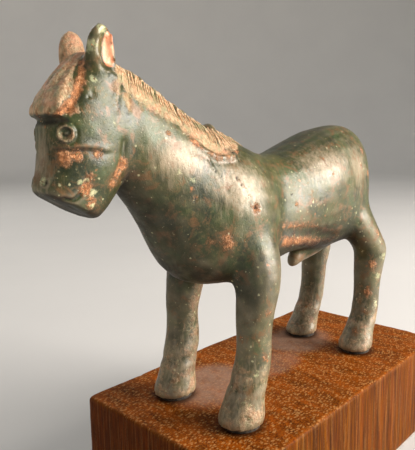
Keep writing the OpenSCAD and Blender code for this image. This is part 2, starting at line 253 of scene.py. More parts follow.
class HorseBlockSettings(bpy.types.PropertyGroup):
    """The hardwood block"""
    grid: length_prop("Skin grid", "Spacing of the points on the block's skin", 0.55)
    wear: length_prop("Wear", "How far the arrises are rubbed down", 0.08)
    warm: colour_prop("Warm brown", "The oiled wood", (172, 86, 16))
    dark: colour_prop("Dark brown", "The wood's late growth", (98, 46, 10))
    fleck: colour_prop("Fleck", "Pale pores on the end grain", (218, 164, 100))
    # The grey is both wear and a painted reflection on the top.
    rubbed: colour_prop("Rubbed", "Grey worn places of the top", (158, 128, 108))
    ease: length_prop("Ease", "Radius of the block's arrises", 0.3)


class HorseFeltSettings(bpy.types.PropertyGroup):
    """The felt under the block"""
    colour: colour_prop("Felt", "Colour of the wool", (176, 160, 132))
    fibre: length_prop("Fibre", "How far loose fibres stand out", 0.7)
    fibres: IntProperty(name="Fibres", description="Loose fibres round the edge", default=900, min=0)
    seed: IntProperty(name="Seed", description="Places the fibres", default=12)


class HorseFittingSettings(bpy.types.PropertyGroup):
    """Hoof washers and pins"""
    rubber: colour_prop("Rubber", "Washers under the hooves", (34, 31, 27))
    brass: colour_prop("Brass", "The turned pins", (188, 150, 86))
    rounding: length_prop("Rounding", "Of a washer's edges", 0.22)


class HorseStageSettings(bpy.types.PropertyGroup):
    """Floor, light and camera"""
    floor: colour_prop("Floor", "The pale floor", (222, 219, 213))
    key: FloatProperty(name="Key light", description="Large soft light, high on the horse's left side",
                       default=9.0, min=0, unit="POWER")
    fill: FloatProperty(name="Fill light", description="Weak light from the camera's side",
                        default=0.5, min=0, unit="POWER")
    rim: FloatProperty(name="Rim light", description="From behind, along the crest and back",
                       default=1.0, min=0, unit="POWER")
    air: share_prop("Air", "Light from all round", 0.38)
    lens: FloatProperty(name="Lens", description="Focal length on a 36 mm wide sensor",
                        default=42.4 * MM, subtype="DISTANCE_CAMERA", unit="CAMERA")


# ---------------------------------------------------------------- node trees in a few words

class Nodes:
    """Adds nodes to one tree and links them, for materials and for geometry alike."""

    def __init__(self, tree):
        self.tree = tree

    def add(self, kind, inputs=None, **settings):
        node = self.tree.nodes.new(kind)
        for name, value in settings.items():
            setattr(node, name, value)
        for name, value in (inputs or {}).items():
            socket = node.inputs[name]
            if isinstance(value, bpy.types.NodeSocket):
                self.tree.links.new(value, socket)
            else:
                socket.default_value = value
        return node

    def shape(self, kind, inputs=None, **settings):
        """A geometry node, of which the first output is used."""
        return self.add("GeometryNode" + kind, inputs, **settings).outputs[0]

    def math(self, operation, a, b=0.0, clamp=False):
        return self.add("ShaderNodeMath", {0: a, 1: b}, operation=operation, use_clamp=clamp).outputs[0]

    def times(self, a, b):
        return self.math("MULTIPLY", a, b)

    def plus(self, a, b, clamp=False):
        return self.math("ADD", a, b, clamp)

    def span(self, value, low, high, to_low=0.0, to_high=1.0):
        """A value brought from one span to another, and kept inside it."""
        return self.add("ShaderNodeMapRange", {0: value, 1: low, 2: high, 3: to_low, 4: to_high},
                        clamp=True).outputs[0]

    def noise(self, where, scale, detail=3.0, roughness=0.55, distortion=0.0):
        return self.add("ShaderNodeTexNoise", {"Vector": where, "Scale": scale, "Detail": detail,
                        "Roughness": roughness, "Distortion": distortion}).outputs[0]

    def cells(self, where, scale):
        """Distance to the nearest of many scattered points, and that point's chance number."""
        node = self.add("ShaderNodeTexVoronoi", {"Vector": where, "Scale": scale})
        chance = self.add("ShaderNodeSeparateColor", {0: node.outputs["Color"]}).outputs[0]
        return node.outputs["Distance"], chance

    def mix(self, share, a, b):
        node = self.add("ShaderNodeMix", {0: share}, data_type="RGBA")
        for socket, value in ((node.inputs[6], a), (node.inputs[7], b)):
            if isinstance(value, bpy.types.NodeSocket):
                self.tree.links.new(value, socket)
            else:
                socket.default_value = (*value, 1.0)
        return node.outputs[2]

    def stretch(self, where, x=1.0, y=1.0, z=1.0):
        return self.add("ShaderNodeVectorMath", {0: where, 1: (x, y, z)}, operation="MULTIPLY").outputs[0]

    def random(self, low, high, seed):
        """A chance number between two numbers, or a chance vector between two vectors."""
        if isinstance(low, tuple):
            return self.add("FunctionNodeRandomValue", {0: low, 1: high, 8: seed},
                            data_type="FLOAT_VECTOR").outputs[0]
        return self.add("FunctionNodeRandomValue", {2: low, 3: high, 8: seed}, data_type="FLOAT").outputs[1]

    def painted(self, name):
        """A value painted on the mesh's points."""
        return self.add("ShaderNodeAttribute", attribute_name=name).outputs["Fac"]


def new_material(name):
    """An empty material, its nodes, its shader, and a place in millimetres on the piece."""
    material = bpy.data.materials.new(name)
    material.use_nodes = True
    nodes = Nodes(material.node_tree)
    shader = material.node_tree.nodes["Principled BSDF"]
    where = nodes.add("ShaderNodeTexCoord").outputs["Object"]
    return material, nodes, shader, nodes.stretch(where, TO_MM, TO_MM, TO_MM)


def finish_material(nodes, shader, colour, roughness, bumps, **plain):
    """Links colour, roughness and a chain of bumps (height, strength, distance in mm) to the shader."""
    links = nodes.tree.links
    links.new(colour, shader.inputs["Base Color"])
    if isinstance(roughness, bpy.types.NodeSocket):
        links.new(roughness, shader.inputs["Roughness"])
    else:
        shader.inputs["Roughness"].default_value = roughness
    normal = None
    for height, strength, distance in bumps:
        bump = nodes.add("ShaderNodeBump", {"Height": height, "Strength": strength,
                                            "Distance": distance * MM})
        if normal is not None:
            links.new(normal, bump.inputs["Normal"])
        normal = bump.outputs[0]
    if normal is not None:
        links.new(normal, shader.inputs["Normal"])
    for name, value in plain.items():
        shader.inputs["IOR" if name == "ior" else name.replace("_", " ").title()].default_value = value


def new_geometry_tree(name, sockets):
    """A geometry tree with its named inputs. Gives its nodes, those inputs and their identifiers."""
    tree = bpy.data.node_groups.new(name, "GeometryNodeTree")
    tree.interface.new_socket("Geometry", in_out="INPUT", socket_type="NodeSocketGeometry")
    tree.interface.new_socket("Geometry", in_out="OUTPUT", socket_type="NodeSocketGeometry")
    names = {}
    for label, kind in sockets:
        names[label] = tree.interface.new_socket(label, in_out="INPUT",
                                                 socket_type="NodeSocket" + kind).identifier
    return Nodes(tree), tree.nodes.new("NodeGroupInput").outputs, names


def end_tree(nodes, geometry, material):
    """Every tree ends the same way: real geometry, with its material."""
    real = nodes.shape("RealizeInstances", {0: geometry})
    dressed = nodes.shape("SetMaterial", {"Geometry": real, "Material": material})
    out = nodes.tree.nodes.new("NodeGroupOutput")
    nodes.tree.links.new(dressed, out.inputs[0])


def grow(obj, nodes, names, values):
    """Runs a geometry tree on an object and leaves its result there as a plain mesh."""
    modifier = obj.modifiers.new("Grow", "NODES")
    modifier.node_group = nodes.tree
    for label, value in values.items():
        modifier[names[label]] = value
    bpy.context.view_layer.update()
    graph = bpy.context.evaluated_depsgraph_get()
    mesh = bpy.data.meshes.new_from_object(obj.evaluated_get(graph), depsgraph=graph)
    obj.modifiers.remove(modifier)
    obj.data = mesh
    mesh.name = obj.name
    if not mesh.polygons:
        raise RuntimeError(f"{obj.name}: the tree made no faces")
    return mesh


# ---------------------------------------------------------------- meshes in numbers

def new_object(name, mesh):
    obj = bpy.data.objects.new(name, mesh)
    bpy.context.scene.collection.objects.link(obj)
    return obj


def finished(work, name):
    """A new mesh from work that is done."""
    mesh = bpy.data.meshes.new(name)
    work.to_mesh(mesh)
    work.free()
    return mesh


def smooth_shading(mesh):
    mesh.polygons.foreach_set("use_smooth", np.ones(len(mesh.polygons), bool))
    mesh.update()


def read_points(mesh):
    flat = np.empty(len(mesh.vertices) * 3, np.float32)
    mesh.vertices.foreach_get("co", flat)
    return flat.reshape(-1, 3).astype(float)


def write_points(mesh, points):
    mesh.vertices.foreach_set("co", points.astype(np.float32).ravel())
    mesh.update()


def paint(mesh, name, values):
    layer = mesh.attributes.new(name, "FLOAT", "POINT")
    layer.data.foreach_set("value", np.clip(values, -1, 1).astype(np.float32))


def merged_copy(node, place):
    """A CAD node's mesh with its doubles merged, its points moved by place (metres to drawn mm)."""
    mesh = node.data.copy()
    write_points(mesh, place(read_points(mesh)))
    work = bmesh.new()
    work.from_mesh(mesh)
    bmesh.ops.remove_doubles(work, verts=work.verts, dist=0.002)
    work.to_mesh(mesh)
    work.free()
    mesh.materials.clear()
    return mesh


def remeshed(mesh, grid):
    """The same shape on an even grid of small four-sided faces."""
    obj = new_object("remesh_work", mesh)
    modifier = obj.modifiers.new("Remesh", "REMESH")
    modifier.mode, modifier.voxel_size = "VOXEL", grid
    graph = bpy.context.evaluated_depsgraph_get()
    result = bpy.data.meshes.new_from_object(obj.evaluated_get(graph), depsgraph=graph)
    bpy.data.objects.remove(obj)
    for layer in [a for a in result.attributes if not a.is_internal and not a.is_required]:
        result.attributes.remove(layer)
    return result


def split_region(mesh, chosen):
    """Halves the grid of every face whose corners are all chosen."""
    work = bmesh.new()
    work.from_mesh(mesh)
    edges = [e for e in work.edges if chosen[e.verts[0].index] and chosen[e.verts[1].index]]
    bmesh.ops.subdivide_edges(work, edges=edges, cuts=1, use_grid_fill=True)
    work.to_mesh(mesh)
    work.free()


class Skin:
    """A mesh's points with their neighbours and normals, for smoothing and carving."""

    def __init__(self, mesh):
        self.mesh = mesh
        self.points = read_points(mesh)
        self.count = len(self.points)
        edges = np.empty(len(mesh.edges) * 2, np.int32)
        mesh.edges.foreach_get("vertices", edges)
        self.edges = edges.reshape(-1, 2)
        self.degree = np.maximum(np.bincount(edges, minlength=self.count), 1)[:, None]
        mesh.calc_loop_triangles()
        corners = np.empty(len(mesh.loop_triangles) * 3, np.int32)
        mesh.loop_triangles.foreach_get("vertices", corners)
        self.triangles = corners.reshape(-1, 3)

    def average(self, values):
        """Each point's mean of its neighbours' values."""
        a, b = self.edges.T
        columns = [np.bincount(a, values[b, k], self.count) + np.bincount(b, values[a, k], self.count)
                   for k in range(values.shape[1])]
        return np.stack(columns, 1) / self.degree

    def blur(self, values, rounds):
        values = np.asarray(values, float)[:, None]
        for _ in range(rounds):
            values = 0.5 * values + 0.5 * self.average(values)
        return values[:, 0]

    def normals(self):
        corner = self.points[self.triangles]
        face = np.cross(corner[:, 1] - corner[:, 0], corner[:, 2] - corner[:, 0])
        total = np.stack([sum(np.bincount(self.triangles[:, i], face[:, k], self.count)
                              for i in range(3)) for k in range(3)], 1)
        return total / np.maximum(np.linalg.norm(total, axis=1), 1e-12)[:, None]

    def relax(self, rounds, weight):
        """Smooths without losing volume, as much as weight says at each point."""
        weight = weight[:, None]
        for turn in range(2 * rounds):
            pull = (self.average(self.points) - self.points) * weight
            self.points += pull * (SHRINK if turn % 2 == 0 else SWELL)

    def fill(self, rounds, weight):
        """Fills only creases, as a modeller runs a fillet with wax."""
        for turn in range(rounds):
            if turn % 4 == 0:
                normal = self.normals()
            lift = ((self.average(self.points) - self.points) * normal).sum(1)
            self.points += normal * (np.clip(lift, 0, 0.2) * weight)[:, None]

    def snap(self, line):
        """A drawn line, divided finely, each of its points moved to the nearest point of the skin."""
        line = np.asarray(line, float).reshape(-1, 3)
        if len(line) > 1:
            steps = np.r_[0, np.cumsum(np.linalg.norm(np.diff(line, axis=0), axis=1))]
            at = np.linspace(0, steps[-1], max(2, int(steps[-1] / LINE_SPACING) + 1))
            line = np.stack([np.interp(at, steps, line[:, k]) for k in range(3)], 1)
        line = np.array([self.points[np.argmin(((self.points - p) ** 2).sum(1))] for p in line])
        for _ in range(3 if len(line) > 4 else 0):
            line[1:-1] = 0.5 * line[1:-1] + 0.25 * (line[:-2] + line[2:])
        return line

    def to_line(self, line):
        """Distance of each point to a line, the share along it, and the nearest place on it."""
        best = np.full(self.count, 1e9)
        along = np.zeros(self.count)
        nearest = np.zeros((self.count, 3))
        if len(line) == 1:
            return np.linalg.norm(self.points - line[0], axis=1), along, nearest + line[0]
        for i, (a, b) in enumerate(zip(line[:-1], line[1:])):
            ab = b - a
            t = np.clip((self.points - a) @ ab / max(ab @ ab, 1e-9), 0, 1)
            place = a + t[:, None] * ab
            distance = np.linalg.norm(self.points - place, axis=1)
            closer = distance < best
            best[closer] = distance[closer]
            along[closer] = (i + t[closer]) / (len(line) - 1)
            nearest[closer] = place[closer]
        return best, along, nearest

    def beside(self, drawn):
        """The same for a drawn line, first laid on the skin."""
        return self.to_line(self.snap(drawn))

    def around(self, place):
        """Distance of each point to the skin's point nearest to a drawn place."""
        return np.linalg.norm(self.points - self.snap([place])[0], axis=1)

    def oval(self, centre, reach):
        """1 in the middle of an oval region, fading to nothing outside it."""
        return bell(np.linalg.norm((self.points - centre) / reach, axis=1), 1.0)

    def save(self):
        write_points(self.mesh, self.points)


def bell(distance, width):
    return np.exp(-(np.asarray(distance) / width) ** 2)


def step(value, low, high):
    t = np.clip((value - low) / (high - low), 0, 1)
    return t * t * (3 - 2 * t)


def mirrored(line):
    return [(x, -y, z) for x, y, z in line]


def both_sides(line):
    return [line, mirrored(line)]


# ---------------------------------------------------------------- the cast horse

def horse_places():
    """From metres in the frame to drawn millimetres, and back."""
    low, high = (np.array(corner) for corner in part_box("horse_casting"))
    size = (DRAWN_HI - DRAWN_LO) / (high - low)
    return (lambda p: (p - low) * size + DRAWN_LO), (lambda p: (p - DRAWN_LO) / size + low)


def crisp(skin):
    """Where smoothing is held back: 1 on the smooth body, less on ears, forelock, mane and bores."""
    p = skin.points
    free = np.ones(skin.count)
    free -= 0.80 * step(p[:, 2], 60.5, 62.5) * (1 - step(p[:, 0], -47.0, -45.0))
    forelock = (1 - step(p[:, 0], -56.5, -54.5)) * bell(p[:, 2] - 55.5, 1.6)
    free -= 0.75 * forelock
    muzzle = (1 - step(p[:, 0], -53.0, -50.5)) * (1 - step(p[:, 2], 45.5, 47.5)) * step(p[:, 2], 36, 38)
    free -= 0.5 * muzzle
    free -= 0.5 * (1 - step(p[:, 2], 0.8, 2.2))
    for x, y in LEGS.values():
        inside = (np.hypot(p[:, 0] - x, p[:, 1] - y) < BORE_RADIUS_INSIDE) & (p[:, 2] < BORE_DEPTH)
        free[inside] = 0
    return np.clip(free, 0, 1)


def creases(skin):
    """Where creases are filled: the roots of the legs and the throat, hardly the legs and the sheath."""
    x, y, z = skin.points.T
    share = 0.12 + 0.88 * step(z, 20.0, 27.0)
    share *= 1 - 0.85 * bell((x - 13) / 12, 1.0) * bell(y / 5.5, 1.0) * (1 - step(z, 30.0, 33.0))
    share *= 1 - 0.8 * step(z, 54.0, 56.5) * (1 - step(x, -46.0, -43.0))
    return share


def forelock_half_width(z):
    """The forelock is a tongue that widens from between the ears down to the brow."""
    run = np.clip((FORELOCK_TOP - z) / FORELOCK_LENGTH, 0, 1)
    return 0.9 + 3.6 * run ** 0.8


def carve_head(skin, lift, normal):
    """Eyes, cheekbones, mouth, forelock, ears and the locks behind them."""
    x, y, z = skin.points.T
    for sign in (1, -1):
        side = mirrored if sign < 0 else list
        half = step(-sign * y, 0.2, 0.8)
        away = skin.around(side([EYE])[0])
        lift += half * (0.26 * bell(away - 1.02, 0.34) - 0.16 * bell(away - 0.52, 0.30)
                        - 0.08 * bell(away - 1.60, 0.30) + 0.05 * bell(away, 0.26))
        away, along, nearest = skin.beside(side(CHEEK_LEDGE))
        above = z - nearest[:, 2]
        reach = bell(away, 1.5) * bell(along - 0.45, 0.62) * half
        lift += reach * (0.12 * bell(above - 0.5, 0.6) - 0.34 * bell(above + 0.30, 0.42)
                         - 0.16 * bell(above + 1.1, 0.7))
        away, along, _ = skin.beside(side(MOUTH))
        lift -= 0.42 * bell(away, 0.36) * (1 - 0.6 * along)
        for lock in LOCKS:
            away, along, _ = skin.beside(side(lock))
            lift += 0.20 * bell(away, 0.8) * (1 - along ** 3) - 0.04 * bell(away - 1.3, 0.5)
        lift += 0.35 * bell(skin.around(side([CHEEKBONE])[0]), 2.8)
        away = skin.around(side([NOSTRIL])[0])
        lift += 0.16 * bell(away - 0.62, 0.26) - 0.26 * bell(away, 0.34)
        away, _, _ = skin.beside(side(JAW))
        lift -= 0.28 * bell(away, 0.6)
        away, along, _ = skin.beside(side(TEMPLE))
        lift -= (0.24 + 0.34 * (1 - step(along, 0.1, 0.45))) * bell(away, 0.62)
    # the forelock: a broad tongue of hair with long furrows, undercut at its lower edge
    across = y / forelock_half_width(z)
    on_lock = (1 - step(np.abs(across), 0.86, 1.05)) * step(z, 55.3, 55.9) * (1 - step(z, 64.0, 65.2))
    on_lock *= step(-normal[:, 0], 0.05, 0.35) * (1 - step(x, -51.5, -49.8))
    furrows = np.abs(np.sin(np.pi * 1.7 * across + 0.5 * np.sin(z * 0.6) + 0.5))
    lift += on_lock * (0.18 * furrows - 0.09 + 0.03 * np.sin(9.5 * across + z))
    lift -= 0.55 * bell(z - 54.7, 0.5) * (1 - step(np.abs(y), 3.4, 4.4)) * (1 - step(x, -56.6, -55.6))


def carve_mane(skin, lift, rng):
    """The mane's lumpy crest with its break, and the rounded rim above the shoulder."""
    rims = [skin.snap(line) for line in both_sides(MANE_RIM)]
    p = skin.points
    for rim in rims:
        away, along, nearest = skin.to_line(rim)
        back = step(along, 0.42, 0.60) * (1 - step(along, 0.70, 0.92))
        lift += back * 0.46 * bell(away, 0.66)
        lift -= back * 0.06 * bell(away - 1.1, 0.5) * step(nearest[:, 2] - p[:, 2], 0.2, 0.9)
    on_crest, along, _ = skin.to_line(np.array(CREST, float))
    lumps = np.zeros(skin.count)
    for at in np.arange(0.02, 0.9, 0.043):
        lumps += rng.uniform(0.1, 1.0) * bell(along - at - rng.uniform(-0.01, 0.01), 0.016)
    lift += 0.42 * lumps * bell(on_crest, 2.4)
    over = p - skin.snap([CREST_NOTCH])[0]
    lift -= 1.25 * bell(over[:, 0] + 0.4 * over[:, 2], 0.75) * bell(over[:, 1], 2.2) * bell(over[:, 2], 2.6)
    lift += 0.60 * bell(over[:, 0] - 1.9, 1.2) * bell(over[:, 1], 2.4) * bell(over[:, 2], 3.0)
    return rims


def carve_body(skin, lift, rng, pocks):
    """Muscle swells, the worn incised lines, tail strands and corrosion pits."""
    p = skin.points
    x, y, z = p.T
    soft = np.zeros(skin.count)
    for centre, reach, height in SWELLS:
        for middle, in both_sides([centre]):
            soft += height * skin.oval(middle, reach)
    for line, width, depth in HOLLOWS:
        for drawn in both_sides(line):
            away, along, _ = skin.beside(drawn)
            soft -= depth * bell(away, width) * bell(along - 0.5, 0.55)
    lift += skin.blur(soft, 45)
    ragged = 1 + 0.25 * wobble(skin, rng, 7.0)
    for line, width, depth in BELLY_LINES:
        for drawn in both_sides(line):
            away, along, _ = skin.beside(drawn)
            lift -= depth * ragged * bell(away, width) * bell(along - 0.5, 0.55)
    for line in SHOULDER_CUTS:
        away, along, _ = skin.beside(line)
        lift += (0.05 * bell(away - 0.45, 0.22) - 0.24 * bell(away, 0.22)) * bell(along - 0.5, 0.55)
    strands = np.abs(np.sin(y * 3.4 + 0.4 * np.sin(z * 0.5)))
    away, along, _ = skin.to_line(np.array(TAIL, float))
    lift += bell(away, 1.9) * (0.22 * strands - 0.12) * step(along, 0.04, 0.15)
    for hx, hy in LEGS.values():
        on_leg = bell(np.hypot(x - hx, y - hy), 6.5)
        ring = 5.4 + 0.9 * step(x - hx, -4, 4)
        lift += on_leg * (0.07 * bell(z - ring, 0.7) - 0.22 * bell(z - ring - 1.4, 1.0))
    for centre, radius, depth in PITS:
        away = skin.around(centre)
        lift += 0.25 * depth * bell(away - 1.5 * radius, 0.5 * radius) - depth * bell(away, radius)
    for at in p[rng.integers(0, skin.count, pocks)]:
        radius = rng.uniform(0.22, 0.55)
        lift -= rng.uniform(0.05, 0.16) * bell(np.linalg.norm(p - at, axis=1), radius)


def wobble(skin, rng, size):
    """A soft unevenness of the hand-modelled wax, from a few seeded waves."""
    total = np.zeros(skin.count)
    for _ in range(WAVES):
        way = rng.normal(size=3)
        way /= np.linalg.norm(way)
        total += np.sin(skin.points @ way * (2 * np.pi / (size * rng.uniform(0.7, 1.5)))
                        + rng.uniform(0, FULL_TURN))
    return total / math.sqrt(WAVES)


def spots(skin, places):
    """Round spots, each at its own strength."""
    total = np.zeros(skin.count)
    for *place, radius, strength in places:
        total = np.maximum(total, strength * bell(skin.around(place), radius))
    return total


def mane_cover(skin, rims):
    """1 on the mane above its rims, fading softly down the neck in front."""
    p = skin.points
    on = np.zeros(skin.count)
    for rim, sign in zip(rims, (1, -1)):
        away, along, nearest = skin.to_line(rim)
        above = p[:, 2] - nearest[:, 2] + 0.5 * (np.abs(nearest[:, 1]) - np.abs(p[:, 1]))
        soft = 1.6 - 1.2 * step(along, 0.4, 0.6)
        inside = step(above, 0.3 - soft, 0.3 + soft) * (sign * p[:, 1] <= 0.3) * bell(away, 6.5)
        on = np.maximum(on, inside * step(p[:, 0], -48.6, -47.4) * (1 - step(p[:, 0], -22, -17)))
    return on


def paint_horse(skin, rims):
    """Values for the patina, with painted highlights and painted shade, one set of numbers for each point.
    """
    p, normal = skin.points, skin.normals()
    x, y, z = p.T
    broad = p.copy()
    for _ in range(14):
        broad = 0.5 * broad + 0.5 * skin.average(broad)
    hollow = ((broad - p) * normal).sum(1) / 0.10
    on = {"warm": spots(skin, WARM_SPOTS), "chalk": spots(skin, CHALK_SPOTS)}

    def add(layer, values):
        on[layer] = np.maximum(on.get(layer, -np.inf), values)

    # the hair: mane, forelock, and the far ear that shares their coat and is also painted lighter as a
    # highlight
    forelock = (1 - step(np.abs(y) / forelock_half_width(z), 0.95, 1.2)) * step(z, 55.2, 56.0)
    forelock *= (1 - step(x, -50.8, -49.4)) * step(-normal[:, 0] + 0.4 * normal[:, 2], 0.0, 0.3)
    far_ear_coat_and_highlight = step(z, 60.0, 62.0) * step(y, 0.4, 1.6) * (x < -46.5)
    for hair in (mane_cover(skin, rims), forelock, far_ear_coat_and_highlight):
        add("earth", 0.95 * hair)
    # painted highlight: the far ear made pinker and paler
    add("peach", 0.42 * far_ear_coat_and_highlight)
    for line in both_sides(EAR_HOLLOWS):
        add("peach", bell(skin.beside(line)[0], 1.05))
    for rim in rims:
        away, along, _ = skin.to_line(rim)
        edge = step(along, 0.38, 0.5) * (1 - step(along, 0.78, 0.92))
        add("peach", 0.62 * edge * bell(away, 0.7))
        add("warm", 0.85 * bell(away, 0.8) * step(along, 0.36, 0.5) * (1 - step(along, 0.7, 0.9)))
    for line in LOCKS:
        away, along, _ = skin.beside(line)
        add("earth", 0.58 * bell(away, 0.8) * (1 - 0.4 * along))
    # earth on the legs, and on the far legs' faces turned towards the key light, where it is also a painted
    # highlight
    add("earth", 0.22 * (1 - step(z, 5.0, 16.0)) + 0.12 * (1 - step(z, 12.0, 26.0)))
    # painted highlight: earth colour on the far legs' faces that turn towards the key light
    far_legs_towards_key = step(0.7 * normal[:, 0] - 0.7 * normal[:, 1], 0.1, 0.8) * (y > 2.5) * (1 - step(z, 24, 30))
    add("earth", 0.46 * far_legs_towards_key)
    back_edge = step(normal[:, 0], 0.55, 0.95) * step(z, 4, 8) * (1 - step(z, 30, 38)) * (x > 12)
    add("earth", 0.6 * back_edge)
    # painted shade underneath, on the breast, on the faces turned in between the legs and below the
    # forelock's edge, and dirt with painted shade in the hollows
    breast = step(-normal[:, 0], 0.2, 0.8) * (1 - step(x, -24, -20))
    breast = breast * (1 - step(z, 32, 44)) * step(z, 12, 24)
    under = step(-normal[:, 2], -0.05, 0.75) * step(z, 22, 27)
    add("soot", 0.75 * np.maximum(under, 0.7 * breast))
    add("soot", step(np.sign(y) * -normal[:, 1], 0.2, 0.9) * step(z, 2, 5) * 0.4)
    add("soot", 0.9 * step(hollow, 0.5, 1.6))
    add("soot", 0.8 * bell(z - 54.6, 0.7) * (x < -56.2) * (np.abs(y) < 4.4))
    # cuprite stains beside carved lines, and painted shade along the belly's crease and ridge and under the
    # cheek's ledge
    for line, layer, strength, out, width in STAIN_AND_SHADE_LINES:
        for drawn in both_sides(line):
            add(layer, strength * bell(skin.beside(drawn)[0] - out, width))
    add("warm", 0.7 * bell(skin.to_line(np.array(TAIL, float) + (0, -1.9, 0))[0], 1.1))
    # an earthy eye ring, and painted shade in the eye's hollow
    for centre, in both_sides([EYE]):
        away = skin.around(centre)
        add("earth", 0.42 * bell(away - 1.02, 0.4))
        add("soot", 0.42 * bell(away, 0.55))
    # paler lower legs, and painted highlights in the listed ovals on the neck, shoulder, hip and nose
    add("rubbed", 0.50 * (1 - step(z, 5.0, 17.0)))
    for centre, reach in HIGHLIGHT_OVALS:
        for middle, in both_sides([centre]):
            add("rubbed", skin.oval(middle, reach))
    on["hollow"] = hollow * 0.5
    on["crust"] = np.maximum(spots(skin, [s for s in WARM_SPOTS if s[3] < 1.4]), on["chalk"])
    for name, values in on.items():
        paint(skin.mesh, name, values)


def bronze_material(colours):
    """Old bronze: olive and dark green patina, earth on the mane, cuprite, chalk, dirt, painted highlights
    and painted shade.
    """
    material, n, shader, mm = new_material("old_bronze")
    olive, deep, sheen = tuple(colours.olive), tuple(colours.deep), tuple(colours.sheen)
    broad = n.noise(mm, 0.085, 4, 0.6)
    patchy = n.noise(mm, 0.32, 6, 0.62, 0.4)
    fine = n.noise(mm, 1.6, 5, 0.6)
    streaks = n.noise(n.stretch(mm, 1.6, 1.6, 0.30), 1.0, 4, 0.65)
    tone = n.plus(n.times(broad, 0.5), n.times(patchy, 0.5))
    colour = n.mix(n.span(tone, 0.40, 0.60), deep, olive)
    colour = n.mix(n.span(n.noise(mm, 0.2, 4, 0.6), 0.50, 0.64, 0, 0.7), colour, linear(60, 76, 34))
    # painted highlights: grey beige in the ovals and on the lower legs, broken by long upright streaks of
    # painted sheen
    rub_and_highlight = n.plus(n.times(n.painted("rubbed"), 0.30), n.times(streaks, 0.55))
    colour = n.mix(n.span(rub_and_highlight, 0.34, 0.58, 0, 0.82), colour, sheen)
    colour = n.mix(n.span(fine, 0.52, 0.75, 0, 0.5), colour, linear(112, 100, 60))
    raised = n.span(n.painted("hollow"), -0.10, -0.7)
    colour = n.mix(n.times(raised, 0.5), colour, sheen)
    brown = n.span(n.noise(mm, 0.38, 5, 0.68, 0.6), 0.53, 0.64, 0, 0.75)
    colour = n.mix(brown, colour, linear(118, 82, 46))
    grain = n.noise(n.stretch(mm, 1.0, 1.0, 0.45), 2.2, 4, 0.6)
    ground = n.plus(n.painted("earth"), n.span(fine, 0.3, 0.7, -0.30, 0.22))
    ground = n.plus(ground, n.span(patchy, 0.35, 0.65, -0.30, 0.26))
    earthy = n.mix(n.span(grain, 0.36, 0.62), linear(170, 124, 82), tuple(colours.tan))
    earthy = n.mix(n.span(n.noise(mm, 0.8, 3, 0.6), 0.46, 0.60, 0, 0.8), earthy, linear(148, 144, 106))
    earthy = n.mix(n.span(n.noise(mm, 0.45, 3, 0.6), 0.54, 0.64, 0, 0.6), earthy, linear(210, 150, 116))
    colour = n.mix(n.span(ground, 0.22, 0.80), colour, earthy)
    warm = n.plus(n.painted("warm"), n.span(fine, 0.3, 0.7, -0.30, 0.25))
    warm = n.plus(warm, n.span(patchy, 0.35, 0.65, -0.22, 0.12))
    rust = n.mix(n.span(grain, 0.34, 0.62), linear(116, 72, 32), tuple(colours.cuprite))
    rust = n.mix(n.span(fine, 0.50, 0.72, 0, 0.8), rust, linear(222, 166, 116))
    stain = n.mix(n.span(warm, 0.12, 0.45, 0, 0.75), colour, linear(112, 74, 36))
    colour = n.mix(n.span(warm, 0.36, 0.74), stain, rust)
    far, chance = n.cells(mm, 0.55)
    ragged = n.plus(far, n.times(fine, 0.45))
    sore = n.times(n.span(ragged, 0.42, 0.28, 0, 0.8), n.span(chance, 0.90, 0.92))
    colour = n.mix(sore, colour, rust)
    peach = n.plus(n.painted("peach"), n.span(fine, 0.3, 0.7, -0.15, 0.12))
    inside = n.mix(n.span(patchy, 0.35, 0.65), linear(196, 116, 74), linear(220, 152, 112))
    colour = n.mix(n.span(peach, 0.35, 0.62), colour, inside)
    chalk = n.plus(n.painted("chalk"), n.span(fine, 0.3, 0.7, -0.40, 0.30))
    chalky = n.mix(n.span(grain, 0.4, 0.6), linear(150, 158, 114), tuple(colours.chalk))
    colour = n.mix(n.span(chalk, 0.30, 0.75, 0, 0.9), colour, chalky)
    # painted shade with some dirt: darker underneath, on the breast, between the legs, in hollows and
    # creases
    soot = n.plus(n.painted("soot"), n.span(patchy, 0.35, 0.65, -0.2, 0.2))
    colour = n.mix(n.span(soot, 0.18, 0.85, 0, 0.88), colour, tuple(colours.soot))
    clumps = n.span(n.noise(mm, 0.16, 3, 0.6), 0.45, 0.65, 0.0, 0.14)
    for scale, reach, odds in ((0.9, 0.24, 0.90), (2.0, 0.24, 0.965)):
        far, chance = n.cells(mm, scale)
        rare = n.span(n.plus(chance, clumps), odds, odds + 0.03)
        far = n.plus(far, n.span(n.noise(mm, 3.2, 2, 0.6), 0.3, 0.7, -0.10, 0.10))
        speck = n.times(n.span(far, reach, reach * 0.3), rare)
        colour = n.mix(n.times(speck, 0.65), colour, tuple(colours.chalk))
    dull = n.math("MAXIMUM", n.span(ground, 0.3, 0.8), n.span(warm, 0.3, 0.7))
    rough = n.plus(n.span(patchy, 0.3, 0.7, colours.roughness - 0.07, colours.roughness + 0.09),
                   n.plus(n.times(dull, 0.16), n.span(soot, 0.2, 0.8, 0, 0.25)))
    rough = n.plus(rough, n.span(fine, 0.3, 0.7, -0.04, 0.06), clamp=True)
    pits, _ = n.cells(mm, 1.9)
    relief = n.plus(fine, n.times(n.span(pits, 0.05, 0.30), 0.5))
    crusty = n.times(n.noise(mm, 4.2, 4, 0.65), n.plus(dull, 0.18))
    finish_material(n, shader, colour, rough, [(relief, 0.20, 0.18), (crusty, 0.8, 0.18)],
                    metallic=0.13, ior=1.52)
    return material


